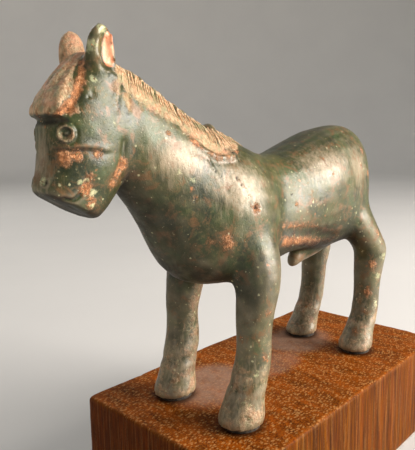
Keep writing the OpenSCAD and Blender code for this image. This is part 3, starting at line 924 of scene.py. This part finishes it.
def make_casting(settings, colours):
    """The horse as one casting: the frame's shape, its creases filled, carved and painted."""
    to_drawn, to_frame = horse_places()
    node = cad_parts["horse_casting"]
    mesh = remeshed(merged_copy(node, to_drawn), settings.grid * TO_MM)
    skin = Skin(mesh)
    free = crisp(skin)
    skin.relax(6, free)
    skin.fill(settings.fillets, free * creases(skin))
    crest, _, _ = skin.to_line(np.array(CREST))
    skin.fill(70, bell(crest, 5.0) * step(crest, 1.0, 2.0) * creases(skin))
    skin.relax(90, bell(crest, 7.0) * step(skin.points[:, 0], -25.0, -21.5))
    skin.relax(22, free)
    skin.save()
    x, _, z = skin.points.T
    near_head = (x < -45.5) & (z > 38)
    crest, _, _ = skin.to_line(np.array(CREST))
    rim, _, _ = skin.to_line(np.array(MANE_RIM))
    split_region(mesh, near_head | (crest < 3.4) | (rim < 2.0))
    skin = Skin(mesh)
    skin.relax(3, np.ones(skin.count) * 0.8)
    skin.save()
    x, _, z = skin.points.T
    eyes = np.minimum(np.linalg.norm(skin.points - np.array(EYE), axis=1),
                      np.linalg.norm(skin.points - np.array(EYE) * (1, -1, 1), axis=1))
    front = (x < -52.5) & (z > 54.0) & (z < 64.5)
    split_region(mesh, (eyes < 2.6) | front)
    skin = Skin(mesh)
    skin.relax(3, np.ones(skin.count) * 0.8)
    rng = np.random.default_rng(settings.seed)
    lift = 0.07 * wobble(skin, rng, 11.0) + 0.022 * wobble(skin, rng, 3.2)
    carve_body(skin, lift, rng, settings.pocks)
    carve_head(skin, lift, skin.normals())
    rims = carve_mane(skin, lift, rng)
    x, y, z = skin.points.T
    for hx, hy in LEGS.values():
        lift *= 1 - (np.hypot(x - hx, y - hy) < BORE_RADIUS) * (z < BORE_DEPTH)
    skin.points += skin.normals() * (settings.depth * lift)[:, None]
    skin.points[:, 2] = np.maximum(skin.points[:, 2], 0)
    paint_horse(skin, rims)
    skin.points = to_frame(skin.points)
    skin.save()
    smooth_shading(mesh)
    mesh.name = "horse_skin"
    mesh.materials.append(bronze_material(colours))
    horse = new_object("horse_skin", mesh)
    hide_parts("horse_casting")
    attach(horse, "root")


def guide(name, line, place):
    """A drawn line as a row of mesh edges, for a geometry tree to follow."""
    mesh = bpy.data.meshes.new(name)
    points = place(np.asarray(line, float))
    mesh.from_pydata([tuple(p) for p in points], [(i, i + 1) for i in range(len(points) - 1)], [])
    return new_object(name, mesh)


def mane_tree():
    """Strokes that run from the crest out and down the skin, each a tapered ridge."""
    n, given, names = new_geometry_tree("mane_strokes", [
        ("Skin", "Object"), ("Side", "Float"), ("Pitch", "Float"), ("Width", "Float"), ("Reach", "Float"),
        ("Drop", "Float"), ("Lean", "Float"), ("Seed", "Int"), ("Material", "Material")])
    crest = n.shape("MeshToCurve", {0: given["Geometry"]})
    skin = n.add("GeometryNodeObjectInfo", {"Object": given["Skin"]}).outputs["Geometry"]
    roots = n.shape("ResampleCurve", {"Curve": crest, "Length": given["Pitch"]}, mode="LENGTH")
    seed = given["Seed"]
    place = n.add("GeometryNodeSplineParameter").outputs["Factor"]
    chance = n.random(-1.0, 1.0, seed)
    luck = n.random(0.0, 1.0, n.plus(seed, 40))
    for name, value in (("place", place), ("chance", chance), ("luck", luck)):
        roots = n.shape("StoreNamedAttribute", {"Geometry": roots, "Name": name, "Value": value},
                        data_type="FLOAT", domain="POINT")
    points = n.shape("CurveToPoints", {"Curve": roots}, mode="EVALUATED")
    line = n.shape("CurvePrimitiveLine", {"Start": (0, 0, 0), "End": (0, 0, 1e-6)})
    line = n.shape("ResampleCurve", {"Curve": line, "Count": 11}, mode="COUNT")
    strokes = n.shape("InstanceOnPoints", {"Points": points, "Instance": line})
    strokes = n.shape("RealizeInstances", {0: strokes})

    def kept(name):
        return n.shape("InputNamedAttribute", {"Name": name}, data_type="FLOAT")

    # a stroke is short behind the ears and long above the shoulder, and its length is uneven
    run = n.add("GeometryNodeSplineParameter").outputs["Factor"]
    long = n.span(kept("place"), 0.45, 0.72, 0.88, 1.38)
    fade = n.span(kept("place"), 0.78, 1.0, 1.0, 0.35)
    long = n.times(n.times(long, fade), n.plus(n.times(kept("luck"), 0.40), 0.66))
    reach = n.times(n.times(given["Reach"], given["Side"]), run)
    jitter = n.times(kept("chance"), 0.25 * MM)
    lean = n.plus(n.times(n.times(given["Lean"], long), run), n.times(jitter, run))
    drop = n.times(n.times(given["Drop"], -1.0), n.math("POWER", run, 1.6))
    way = n.add("ShaderNodeCombineXYZ", {0: lean, 1: n.times(reach, long),
                                         2: n.times(drop, long)}).outputs[0]
    strokes = n.shape("SetPosition", {"Geometry": strokes, "Offset": way})
    near = n.add("GeometryNodeProximity", {0: skin}, target_element="FACES").outputs["Position"]
    strokes = n.shape("SetPosition", {"Geometry": strokes, "Position": near})
    arch = n.math("POWER", n.math("SINE", n.times(run, math.pi)), 0.5)
    size = n.times(n.plus(n.times(kept("chance"), 0.28), 1.0), arch)
    size = n.times(size, n.times(given["Width"], 0.5))
    ring = n.shape("CurvePrimitiveCircle", {"Resolution": 6, "Radius": 1.0}, mode="RADIUS")
    tubes = n.shape("CurveToMesh", {"Curve": strokes, "Profile Curve": ring, "Scale": size,
                                    "Fill Caps": True})
    end_tree(n, tubes, given["Material"])
    return n, names


def make_mane(settings, colours):
    """Both halves of the hatched mane, as one piece lying on the casting's skin."""
    _, to_frame = horse_places()
    nodes, names = mane_tree()
    material = mane_material(colours)
    halves = []
    for side in (-1.0, 1.0):
        half = guide("mane_half", CREST, to_frame)
        grow(half, nodes, names, {
            "Skin": bpy.data.objects["horse_skin"], "Side": side, "Pitch": settings.pitch,
            "Width": settings.width, "Reach": settings.reach, "Drop": settings.drop,
            "Lean": settings.lean, "Seed": settings.seed + len(halves), "Material": material})
        halves.append(half)
    mane = join("mane_strokes", halves)
    mane.data.materials.append(material)
    smooth_shading(mane.data)
    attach(mane, "root")


def join(name, objects):
    """Several plain meshes as one object."""
    work = bmesh.new()
    for obj in objects:
        work.from_mesh(obj.data)
        bpy.data.objects.remove(obj)
    return new_object(name, finished(work, name))


def mane_material(colours):
    """Earth and cuprite on the strokes of the mane, worn to green bronze here and there."""
    material, n, shader, mm = new_material("mane_earth")
    fine = n.noise(mm, 1.5, 5, 0.6)
    patchy = n.noise(mm, 0.42, 4, 0.6, 0.3)
    colour = n.mix(n.span(fine, 0.35, 0.65), linear(186, 142, 98), tuple(colours.tan))
    colour = n.mix(n.span(n.noise(mm, 0.9, 4, 0.6), 0.46, 0.62), colour, linear(238, 206, 166))
    colour = n.mix(n.span(patchy, 0.50, 0.62, 0, 0.8), colour, linear(150, 146, 104))
    colour = n.mix(n.span(n.noise(mm, 0.6, 4, 0.7), 0.55, 0.68, 0, 0.85), colour, tuple(colours.cuprite))
    far, chance = n.cells(mm, 1.6)
    speck = n.times(n.span(far, 0.26, 0.12), n.span(chance, 0.7, 0.74))
    colour = n.mix(speck, colour, tuple(colours.chalk))
    finish_material(n, shader, colour, n.span(fine, 0.3, 0.7, 0.5, 0.72),
                    [(n.noise(mm, 3.5, 4, 0.6), 0.5, 0.12)], metallic=0.05, ior=1.5)
    return material


def crust_tree():
    """Small angular grains scattered where the skin is painted as crusted."""
    n, given, names = new_geometry_tree("crust_grains", [
        ("Grain", "Float"), ("Density", "Float"), ("Seed", "Int"), ("Material", "Material")])
    crust = n.shape("InputNamedAttribute", {"Name": "crust"}, data_type="FLOAT")
    thick = n.math("POWER", n.span(crust, 0.25, 0.95), 1.5)
    many = n.times(n.times(thick, given["Density"]), 1e6)
    seed = given["Seed"]
    points = n.add("GeometryNodeDistributePointsOnFaces", {
        "Mesh": given["Geometry"], "Density": many, "Seed": seed}, distribute_method="RANDOM")
    ball = n.shape("MeshIcoSphere", {"Radius": 0.5, "Subdivisions": 1})
    turn = n.random((0, 0, 0), (6.3, 6.3, 6.3), seed)
    uneven = n.random((0.25, 0.25, 0.2), (1.1, 0.9, 0.7), seed)
    size = n.add("ShaderNodeVectorMath", {0: uneven, "Scale": given["Grain"]},
                 operation="SCALE").outputs[0]
    grains = n.shape("InstanceOnPoints", {
        "Points": points.outputs[0], "Instance": ball, "Rotation": turn, "Scale": size})
    end_tree(n, grains, given["Material"])
    return n, names


def make_crust(settings, colours):
    """Grains of corrosion on the jaw, cheek, throat, legs and sheath."""
    skin = bpy.data.objects["horse_skin"]
    crust = new_object("crust_grains", skin.data.copy())
    nodes, names = crust_tree()
    material, n, shader, mm = new_material("mineral_crust")
    pick = n.noise(mm, 0.8, 3, 0.6)
    colour = n.mix(n.span(pick, 0.42, 0.55), linear(112, 74, 40), linear(196, 142, 98))
    colour = n.mix(n.span(n.noise(mm, 1.3, 3, 0.6), 0.52, 0.60), colour, tuple(colours.chalk))
    colour = n.mix(n.span(n.noise(mm, 1.1, 3, 0.6), 0.54, 0.62), colour, linear(96, 104, 66))
    finish_material(n, shader, colour, 0.72, [(n.noise(mm, 6, 3, 0.6), 0.5, 0.06)])
    grow(crust, nodes, names, {"Grain": settings.grain, "Density": settings.density,
                               "Seed": settings.seed, "Material": material})
    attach(crust, "root")


# ---------------------------------------------------------------- the block, felt and fittings

def wood_material(settings):
    """Oiled hardwood, its grain upright: pale flecks on the end grain, streaks down the sides, painted
    shade on the sides, and ends that are darker partly by their cut and partly by painted shade.
    """
    material, n, shader, mm = new_material("oiled_hardwood")
    drift = n.noise(n.stretch(mm, 1, 1, 0.12), 0.22, 3, 0.5)
    bent = n.add("ShaderNodeVectorMath", {0: mm, 1: n.stretch(n.add(
        "ShaderNodeCombineXYZ", {0: drift, 1: drift, 2: 0.0}).outputs[0], 2.2, 1.6, 0)},
        operation="ADD").outputs[0]
    upright = n.stretch(bent, 1, 1, 0.035)
    bands = n.noise(n.stretch(upright, 1, 0.35, 1), 0.55, 4, 0.6)
    streak = n.noise(upright, 2.4, 5, 0.65)
    colour = n.mix(n.span(bands, 0.36, 0.64), tuple(settings.dark), tuple(settings.warm))
    colour = n.mix(n.span(streak, 0.42, 0.68, 0, 0.6), colour, linear(208, 130, 52))
    colour = n.mix(n.span(n.noise(upright, 3.4, 3, 0.6), 0.50, 0.66, 0, 0.75), colour, linear(74, 34, 12))
    far, chance = n.cells(n.stretch(bent, 0.85, 1.6, 0.03), 1.35)
    ragged = n.plus(far, n.span(n.noise(mm, 2.2, 3, 0.6), 0.3, 0.7, -0.12, 0.12))
    fleck = n.times(n.span(ragged, 0.46, 0.26), n.span(chance, 0.05, 0.2))
    on_top = n.painted("top")
    fine = n.noise(n.stretch(mm, 1, 1, 0.05), 4.5, 4, 0.7)
    ends = n.mix(n.span(fine, 0.35, 0.65), linear(34, 14, 5), linear(112, 60, 24))
    colour = n.stretch(colour, 0.72, 0.62, 0.36)
    # painted shade: the long sides darkened against the key light that falls on them
    colour = n.mix(n.painted("sides"), colour, n.stretch(colour, 0.50, 0.54, 0.05))
    # the ends darker, partly by their different cut across the grain and partly as painted shade
    colour = n.mix(n.times(n.painted("ends"), 0.88), colour, n.stretch(ends, 0.80, 0.56, 0.05))
    colour = n.mix(n.times(fleck, n.span(on_top, 0, 1, 0.07, 0.42)), colour, tuple(settings.fleck))
    # worn, grey places of the top, partly a painted reflection of the key light
    rubbed = n.times(n.painted("rubbed"), n.span(n.noise(mm, 0.5, 4, 0.6), 0.3, 0.6, 0.55, 1.0))
    colour = n.mix(n.times(rubbed, 0.75), colour, tuple(settings.rubbed))
    colour = n.mix(n.times(n.painted("arris"), 0.4), colour, linear(170, 104, 44))
    # darker rings on the top round each hoof
    colour = n.mix(n.times(n.painted("grime"), 0.8), colour, linear(38, 22, 12))
    rough = n.plus(n.span(streak, 0.3, 0.7, 0.40, 0.56), n.times(rubbed, 0.18))
    finish_material(n, shader, colour, rough, [(streak, 0.35, 0.18), (fleck, -0.5, 0.10)], ior=1.12)
    return material


def make_block(settings):
    """The block: the frame's shape with its pin holes, its arrises rubbed and bruised."""
    low, high = (np.array(corner) * TO_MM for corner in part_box("wood_block"))
    mesh = remeshed(merged_copy(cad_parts["wood_block"], lambda p: p * TO_MM), settings.grid * TO_MM)
    skin = Skin(mesh)
    normal = skin.normals()
    for axis in range(3):
        for face in (low[axis], high[axis]):
            flat = (np.abs(skin.points[:, axis] - face) < 0.2) & (np.abs(normal[:, axis]) > 0.985)
            skin.points[flat, axis] = face
    p = skin.points
    gap = np.sort(np.minimum(p - low, high - p), axis=1)
    arris = gap[:, 0] + gap[:, 1]
    # the arrises are brought to a true small radius
    ease = settings.ease * TO_MM
    core = np.clip(p, low + ease, high - ease)
    off = p - core
    reach = np.linalg.norm(off, axis=1)
    outer = (gap[:, 0] < 0.45) & (gap[:, 1] < 0.9) & (reach > 1e-6)
    p[outer] = core[outer] + off[outer] * (ease / reach[outer])[:, None]
    rng = np.random.default_rng(4)
    rub_and_highlight = settings.wear * TO_MM * (0.75 + 0.35 * wobble(skin, rng, 9.0) + 0.25 * wobble(skin, rng, 3.0))
    inner = gap[:, 0] < 0.9
    lift = -np.clip(rub_and_highlight, 0.0, 0.4) * bell(arris, 1.0) * inner
    for _ in range(16):
        axis = rng.integers(0, 3)
        at = np.where(rng.random(3) < 0.5, low, high)
        at[axis] = rng.uniform(low[axis], high[axis])
        lift -= rng.uniform(0.05, 0.3) * bell(np.linalg.norm(p - at, axis=1), rng.uniform(0.5, 1.2)) * inner
    bare = np.zeros(skin.count, bool)
    for leg in LEGS:
        plow, phigh = (np.array(corner) * TO_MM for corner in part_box("mount_pin_" + leg))
        centre = (plow + phigh) / 2
        bare |= (np.hypot(p[:, 0] - centre[0], p[:, 1] - centre[1]) < 2.2) & (p[:, 2] > plow[2] - 1)
    lift[bare] = 0
    top = (high[2] - p[:, 2] < 0.05) & ~bare
    lift += 0.035 * wobble(skin, rng, 14.0) * top
    wear_and_reflection = np.zeros(skin.count)
    for middle, reach, strength in TOP_WEAR_AND_REFLECTION:
        away = np.linalg.norm((p[:, :2] - middle) / reach, axis=1)
        wear_and_reflection = np.maximum(wear_and_reflection, (1 - step(away, 0.75, 1.35)) * top * strength)
    rings = np.zeros(skin.count)
    for x, y in LEGS.values():
        rings = np.maximum(rings, bell(np.hypot(p[:, 0] - x, p[:, 1] - y) - 3.6, 1.1))
    skin.points = (p + normal * lift[:, None]) * MM
    skin.save()
    # worn places of the top, partly a painted reflection
    paint(mesh, "rubbed", wear_and_reflection)
    paint(mesh, "top", bell(high[2] - p[:, 2], 0.25))
    # painted shade on the long sides, and partly on the ends
    paint(mesh, "sides", bell(np.minimum(p[:, 1] - low[1], high[1] - p[:, 1]), 0.3))
    paint(mesh, "ends", bell(np.minimum(p[:, 0] - low[0], high[0] - p[:, 0]), 0.3))
    paint(mesh, "arris", bell(arris, 0.6) * inner * np.clip(0.7 + 0.4 * wobble(skin, rng, 0.006), 0.1, 1))
    # darker rings on the top round each hoof
    paint(mesh, "grime", rings * top)
    smooth_shading(mesh)
    mesh.name = "hardwood_block"
    mesh.materials.append(wood_material(settings))
    block = new_object("hardwood_block", mesh)
    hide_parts("wood_block")
    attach(block, "root")


def felt_material(colour):
    """Pressed wool: mottled, fuzzy and quite matt."""
    material, n, shader, mm = new_material("pressed_felt")
    mottle = n.noise(mm, 0.9, 5, 0.65)
    hairs = n.noise(n.stretch(mm, 1, 4, 1), 2.4, 4, 0.7, 1.6)
    base = n.mix(n.span(mottle, 0.35, 0.68), linear(146, 128, 100), tuple(colour))
    base = n.mix(n.span(hairs, 0.55, 0.7, 0, 0.5), base, linear(206, 194, 168))
    finish_material(n, shader, base, 0.95, [(hairs, 0.7, 0.2), (n.noise(mm, 5, 3, 0.6), 0.5, 0.1)],
                    sheen_weight=0.4, sheen_roughness=0.6)
    return material


def fibre_tree():
    """Loose bent fibres that stand out of a mesh's edge points."""
    n, given, names = new_geometry_tree("felt_fibres", [
        ("Fibres", "Int"), ("Length", "Float"), ("Seed", "Int"), ("Material", "Material")])
    edge = n.shape("MeshToCurve", {0: given["Geometry"]})
    roots = n.shape("ResampleCurve", {"Curve": edge, "Count": given["Fibres"]}, mode="COUNT")
    seed = given["Seed"]
    shift = n.stretch(n.random((-MM, -MM, -0.4 * MM), (MM, MM, 0.4 * MM), seed), 0.1, 0.1, 1.0)
    roots = n.shape("SetPosition", {"Geometry": roots, "Offset": shift})
    tangent = n.shape("InputTangent")
    outward = n.add("ShaderNodeVectorMath", {0: tangent, 1: (0, 0, 1)},
                    operation="CROSS_PRODUCT").outputs[0]
    stray = n.random((-1, -1, -0.25), (1, 1, 0.35), seed)
    way = n.add("ShaderNodeVectorMath", {0: outward, 1: stray}, operation="ADD").outputs[0]
    turn = n.add("FunctionNodeAlignRotationToVector", {"Vector": way}, axis="X").outputs[0]
    hair = n.shape("CurvePrimitiveBezierSegment", {
        "Start": (0, 0, 0), "Start Handle": (0.35, 0.1, 0.1), "End Handle": (0.7, 0.3, -0.1),
        "End": (1.0, 0.1, -0.3), "Resolution": 5})
    size = n.times(n.random(0.3, 1.0, seed), given["Length"])
    hairs = n.shape("InstanceOnPoints", {"Points": roots, "Instance": hair, "Rotation": turn,
                                         "Scale": size})
    hairs = n.shape("RealizeInstances", {0: hairs})
    at = n.add("ShaderNodeSeparateXYZ", {0: n.shape("InputPosition")}).outputs
    above = n.add("ShaderNodeCombineXYZ", {0: at[0], 1: at[1], 2: n.math("MAXIMUM", at[2], 0.03 * MM)})
    hairs = n.shape("SetPosition", {"Geometry": hairs, "Position": above.outputs[0]})
    ring = n.shape("CurvePrimitiveCircle", {"Resolution": 3, "Radius": 1.0}, mode="RADIUS")
    tubes = n.shape("CurveToMesh", {"Curve": hairs, "Profile Curve": ring, "Scale": FIBRE_RADIUS,
                                    "Fill Caps": True})
    end_tree(n, tubes, given["Material"])
    return n, names


def make_felt(settings):
    """The felt: a cut sheet with a soft, slightly uneven edge, and the loose fibres round it."""
    low, high = (np.array(corner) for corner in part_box("felt_sheet"))
    size = high - low
    across, along, rows = FELT_ACROSS, FELT_ALONG, FELT_ROWS
    work = bmesh.new()
    rng = np.random.default_rng(9)
    phase = rng.uniform(0, FULL_TURN, 3)
    grid = {}
    for k in range(rows):
        v = k / (rows - 1)
        bulge = FELT_BULGE * (1 - (2 * v - 1) ** 2) - FELT_BULGE
        for i in range(across + 1):
            for j in range(along + 1):
                if 0 < k < rows - 1 and 0 < i < across and 0 < j < along:
                    continue
                x, y = low[0] + size[0] * i / across, low[1] + size[1] * j / along
                uneven = FELT_UNEVEN * (math.sin(900 * x + phase[0]) + math.sin(1700 * y + phase[1])
                                      + math.sin(2600 * (x + y) + phase[2]) - 2)
                if i in (0, across):
                    x += (bulge + uneven) * (1 if i else -1)
                if j in (0, along):
                    y += (bulge + uneven) * (1 if j else -1)
                grid[i, j, k] = work.verts.new((x, y, low[2] + size[2] * v))

    def face(*keys):
        work.faces.new([grid[key] for key in keys])

    for i in range(across):
        for j in range(along):
            face((i, j, 0), (i, j + 1, 0), (i + 1, j + 1, 0), (i + 1, j, 0))
            face((i, j, rows - 1), (i + 1, j, rows - 1), (i + 1, j + 1, rows - 1), (i, j + 1, rows - 1))
    for k in range(rows - 1):
        for i in range(across):
            face((i, 0, k), (i + 1, 0, k), (i + 1, 0, k + 1), (i, 0, k + 1))
            face((i, along, k), (i, along, k + 1), (i + 1, along, k + 1), (i + 1, along, k))
        for j in range(along):
            face((0, j, k), (0, j, k + 1), (0, j + 1, k + 1), (0, j + 1, k))
            face((across, j, k), (across, j + 1, k), (across, j + 1, k + 1), (across, j, k + 1))
    mesh = finished(work, "felt_pad")
    smooth_shading(mesh)
    material = felt_material(settings.colour)
    mesh.materials.append(material)
    felt = new_object("felt_pad", mesh)
    middle = (low[2] + high[2]) / 2
    corners = [(low[0], low[1]), (high[0], low[1]), (high[0], high[1]), (low[0], high[1])]
    edge = bpy.data.meshes.new("felt_fibres")
    edge.from_pydata([(x, y, middle) for x, y in corners], [(0, 1), (1, 2), (2, 3), (3, 0)], [])
    fibres = new_object("felt_fibres", edge)
    nodes, names = fibre_tree()
    grow(fibres, nodes, names, {"Fibres": settings.fibres, "Length": settings.fibre,
                                "Seed": settings.seed, "Material": material})
    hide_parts("felt_sheet")
    for piece in (felt, fibres):
        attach(piece, "root")


def washer_tree():
    """A flat ring with rounded edges, swept round its hole."""
    n, given, names = new_geometry_tree("hoof_washer", [
        ("Outer", "Float"), ("Hole", "Float"), ("Thickness", "Float"), ("Rounding", "Float"),
        ("Centre", "Vector"), ("Material", "Material")])
    outer, hole = given["Outer"], given["Hole"]
    path = n.shape("CurvePrimitiveCircle", {"Resolution": 56, "Radius": n.times(n.plus(outer, hole), 0.5)},
                   mode="RADIUS")
    wall = n.shape("CurvePrimitiveQuadrilateral", {
        "Width": n.math("SUBTRACT", outer, hole), "Height": given["Thickness"]},
        mode="RECTANGLE")
    wall = n.shape("FilletCurve", {"Curve": wall, "Radius": given["Rounding"], "Count": 4,
                                   "Limit Radius": True}, mode="POLY")
    ring = n.shape("CurveToMesh", {"Curve": path, "Profile Curve": wall})
    ring = n.shape("Transform", {"Geometry": ring, "Translation": given["Centre"]})
    ring = n.shape("SetShadeSmooth", {0: ring})
    end_tree(n, ring, given["Material"])
    return n, names


def make_washers(settings):
    """The four rubber washers that keep the hooves off the wood."""
    material, n, shader, mm = new_material("washer_rubber")
    dust = n.noise(mm, 1.4, 5, 0.65)
    colour = n.mix(n.span(dust, 0.42, 0.72), tuple(settings.rubber), linear(92, 78, 58))
    finish_material(n, shader, colour, n.span(dust, 0.3, 0.7, 0.6, 0.85), [(dust, 0.4, 0.08)])
    nodes, names = washer_tree()
    for leg in LEGS:
        node = "hoof_washer_" + leg
        low, high = (np.array(corner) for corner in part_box(node))
        washer = new_object("rubber_washer_" + leg, bpy.data.meshes.new("washer"))
        grow(washer, nodes, names, {
            "Outer": float(high[0] - low[0]) / 2, "Hole": WASHER_HOLE,
            "Thickness": float(high[2] - low[2]), "Rounding": settings.rounding,
            "Centre": tuple((low + high) / 2), "Material": material})
        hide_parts(node)
        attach(washer, "root")


def dress_pins(settings):
    """The pins keep their CAD shape and get turned brass."""
    material, n, shader, mm = new_material("turned_brass")
    lines = n.noise(n.stretch(mm, 0.15, 0.15, 9.0), 1.0, 3, 0.6)
    tarnish = n.noise(mm, 0.9, 5, 0.6)
    colour = n.mix(n.span(tarnish, 0.45, 0.7), tuple(settings.brass), linear(122, 92, 48))
    finish_material(n, shader, colour, n.span(tarnish, 0.3, 0.7, 0.28, 0.5), [(lines, 0.3, 0.03)],
                    metallic=0.9)
    for leg in LEGS:
        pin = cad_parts["mount_pin_" + leg]
        if not pin.material_slots:
            pin.data.materials.append(material)
        for slot in pin.material_slots:
            slot.material = material


# ---------------------------------------------------------------- the stage

def soft_light(name, place, target, width, power, warmth):
    light = bpy.data.lights.new(name, "AREA")
    light.shape, light.size, light.energy, light.color = "DISK", width, power, warmth
    obj = bpy.data.objects.new(name, light)
    obj.location = place
    obj.rotation_euler = (Vector(target) - Vector(place)).to_track_quat("-Z", "Y").to_euler()
    bpy.context.scene.collection.objects.link(obj)


def make_stage(settings):
    """A pale round cove, a large soft light on the left side, fill, rim, and the camera."""
    flat, cove, turns = FLOOR_FLAT, FLOOR_COVE, FLOOR_TURNS
    profile = [(0.0, 0.0)] + [(flat * r, 0.0) for r in (0.15, 0.35, 0.6, 0.85, 1.0)]
    profile += [(flat + cove * math.sin(a), cove * (1 - math.cos(a)))
                for a in np.linspace(0, math.pi / 2, 17)[1:]]
    profile += [(flat + cove, FLOOR_WALL)]
    work = bmesh.new()
    centre = work.verts.new((0, 0, 0))
    rings = [[work.verts.new((r * math.cos(t), r * math.sin(t), z))
              for t in np.linspace(0, 2 * math.pi, turns, endpoint=False)] for r, z in profile[1:]]
    for i in range(turns):
        j = (i + 1) % turns
        work.faces.new((centre, rings[0][i], rings[0][j]))
        for inner, outer in zip(rings[:-1], rings[1:]):
            work.faces.new((inner[i], outer[i], outer[j], inner[j]))
    mesh = finished(work, "floor")
    smooth_shading(mesh)
    material, n, shader, mm = new_material("pale_floor")
    tone = n.noise(mm, 0.01, 3, 0.5)
    colour = n.mix(n.span(tone, 0.3, 0.7, 0, 0.5), tuple(settings.floor), linear(214, 211, 206))
    finish_material(n, shader, colour, 0.75, [(n.noise(mm, 0.8, 3, 0.6), 0.05, 0.05)])
    mesh.materials.append(material)
    new_object("floor", mesh)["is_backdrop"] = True

    world = bpy.data.worlds.new("air")
    world.use_nodes = True
    back = world.node_tree.nodes["Background"]
    back.inputs[0].default_value = (0.93, 0.96, 1.0, 1.0)
    back.inputs[1].default_value = settings.air
    scene = bpy.context.scene
    scene.world = world
    scene.view_settings.view_transform = "Standard"

    low, high = (Vector(corner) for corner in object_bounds())
    heart = (low + high) / 2
    soft_light("key_light", heart + 0.62 * Vector((0.54, -0.78, 0.31)), heart, 0.42, settings.key,
               (1.0, 0.94, 0.90))
    soft_light("fill_light", heart + 0.9 * Vector((-0.85, -0.35, 0.40)), heart, 0.5, settings.fill,
               (0.94, 0.97, 1.0))
    soft_light("rim_light", heart + 0.8 * Vector((0.10, 0.80, 0.62)), heart, 0.4, settings.rim,
               (1.0, 0.98, 0.95))

    # the camera stands in front, to the horse's left, a little above its knees
    turn, rise, roll = (math.radians(angle) for angle in (CAMERA_TURN, CAMERA_RISE, CAMERA_ROLL))
    block_low, block_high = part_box("wood_block")
    base = Vector(((block_low.x + block_high.x) / 2, (block_low.y + block_high.y) / 2, block_high.z))
    back = Vector((math.sin(turn) * math.cos(rise), -math.cos(turn) * math.cos(rise), math.sin(rise)))
    right = (-back).cross(Vector((0, 0, 1))).normalized()
    down = (-back).cross(right)
    right, down = (right * math.cos(roll) + down * math.sin(roll),
                   down * math.cos(roll) - right * math.sin(roll))
    camera = bpy.data.cameras.new("camera")
    camera.lens, camera.sensor_width, camera.sensor_fit = settings.lens * TO_MM, SENSOR_WIDTH, "AUTO"
    camera.clip_start, camera.clip_end = 0.005, 10
    obj = bpy.data.objects.new("camera", camera)
    place = base + MM * Vector(CAMERA_PLACE)
    obj.matrix_world = Matrix.Translation(place) @ Matrix((right, -down, back)).transposed().to_4x4()
    scene.collection.objects.link(obj)
    scene.camera = obj


# ---------------------------------------------------------------- operators, panel, registration

class BRONZE_HORSE_OT_casting(bpy.types.Operator):
    """Make the cast horse's carved and painted skin"""
    bl_idname = "bronze_horse.casting"
    bl_label = "Cast horse"

    def execute(self, context):
        make_casting(context.scene.horse_casting, context.scene.horse_patina)
        return {"FINISHED"}


class BRONZE_HORSE_OT_mane(bpy.types.Operator):
    """Lay the chiselled strokes of the mane on the skin"""
    bl_idname = "bronze_horse.mane"
    bl_label = "Mane strokes"

    def execute(self, context):
        make_mane(context.scene.horse_mane, context.scene.horse_patina)
        return {"FINISHED"}


class BRONZE_HORSE_OT_crust(bpy.types.Operator):
    """Scatter grains of corrosion on the crusted places"""
    bl_idname = "bronze_horse.crust"
    bl_label = "Crust grains"

    def execute(self, context):
        make_crust(context.scene.horse_crust, context.scene.horse_patina)
        return {"FINISHED"}


class BRONZE_HORSE_OT_block(bpy.types.Operator):
    """Make the worn hardwood block"""
    bl_idname = "bronze_horse.block"
    bl_label = "Hardwood block"

    def execute(self, context):
        make_block(context.scene.horse_block)
        return {"FINISHED"}


class BRONZE_HORSE_OT_felt(bpy.types.Operator):
    """Make the felt sheet and its loose fibres"""
    bl_idname = "bronze_horse.felt"
    bl_label = "Felt"

    def execute(self, context):
        make_felt(context.scene.horse_felt)
        return {"FINISHED"}


class BRONZE_HORSE_OT_fittings(bpy.types.Operator):
    """Make the four hoof washers and give the pins their brass"""
    bl_idname = "bronze_horse.fittings"
    bl_label = "Washers and pins"

    def execute(self, context):
        make_washers(context.scene.horse_fittings)
        dress_pins(context.scene.horse_fittings)
        return {"FINISHED"}


class BRONZE_HORSE_OT_stage(bpy.types.Operator):
    """Set the floor, the lights and the camera"""
    bl_idname = "bronze_horse.stage"
    bl_label = "Stage"

    def execute(self, context):
        make_stage(context.scene.horse_stage)
        return {"FINISHED"}


OPERATORS = (BRONZE_HORSE_OT_stage, BRONZE_HORSE_OT_casting, BRONZE_HORSE_OT_mane,
             BRONZE_HORSE_OT_crust, BRONZE_HORSE_OT_block, BRONZE_HORSE_OT_felt,
             BRONZE_HORSE_OT_fittings)
SETTINGS = {"horse_casting": HorseCastingSettings, "horse_patina": HorsePatinaSettings,
            "horse_mane": HorseManeSettings, "horse_crust": HorseCrustSettings,
            "horse_block": HorseBlockSettings, "horse_felt": HorseFeltSettings,
            "horse_fittings": HorseFittingSettings, "horse_stage": HorseStageSettings}


class VIEW3D_PT_bronze_horse(bpy.types.Panel):
    """Lists a button for every piece, and the settings of each"""
    bl_label = "Bronze Horse"
    bl_space_type = "VIEW_3D"
    bl_region_type = "UI"
    bl_category = "Bronze Horse"

    def draw(self, context):
        for operator in OPERATORS:
            self.layout.operator(operator.bl_idname)
        for name, kind in SETTINGS.items():
            box = self.layout.box()
            box.label(text=kind.__doc__)
            for prop in kind.__annotations__:
                box.prop(getattr(context.scene, name), prop)


def register():
    for kind in (*SETTINGS.values(), *OPERATORS, VIEW3D_PT_bronze_horse):
        bpy.utils.register_class(kind)
    for name, kind in SETTINGS.items():
        setattr(bpy.types.Scene, name, PointerProperty(type=kind))


def unregister():
    for name in SETTINGS:
        delattr(bpy.types.Scene, name)
    for kind in reversed((*SETTINGS.values(), *OPERATORS, VIEW3D_PT_bronze_horse)):
        bpy.utils.unregister_class(kind)


def main():
    register()
    for operator in OPERATORS:
        group, name = operator.bl_idname.split(".")
        getattr(getattr(bpy.ops, group), name)()


if __name__ == "__main__":
    main()
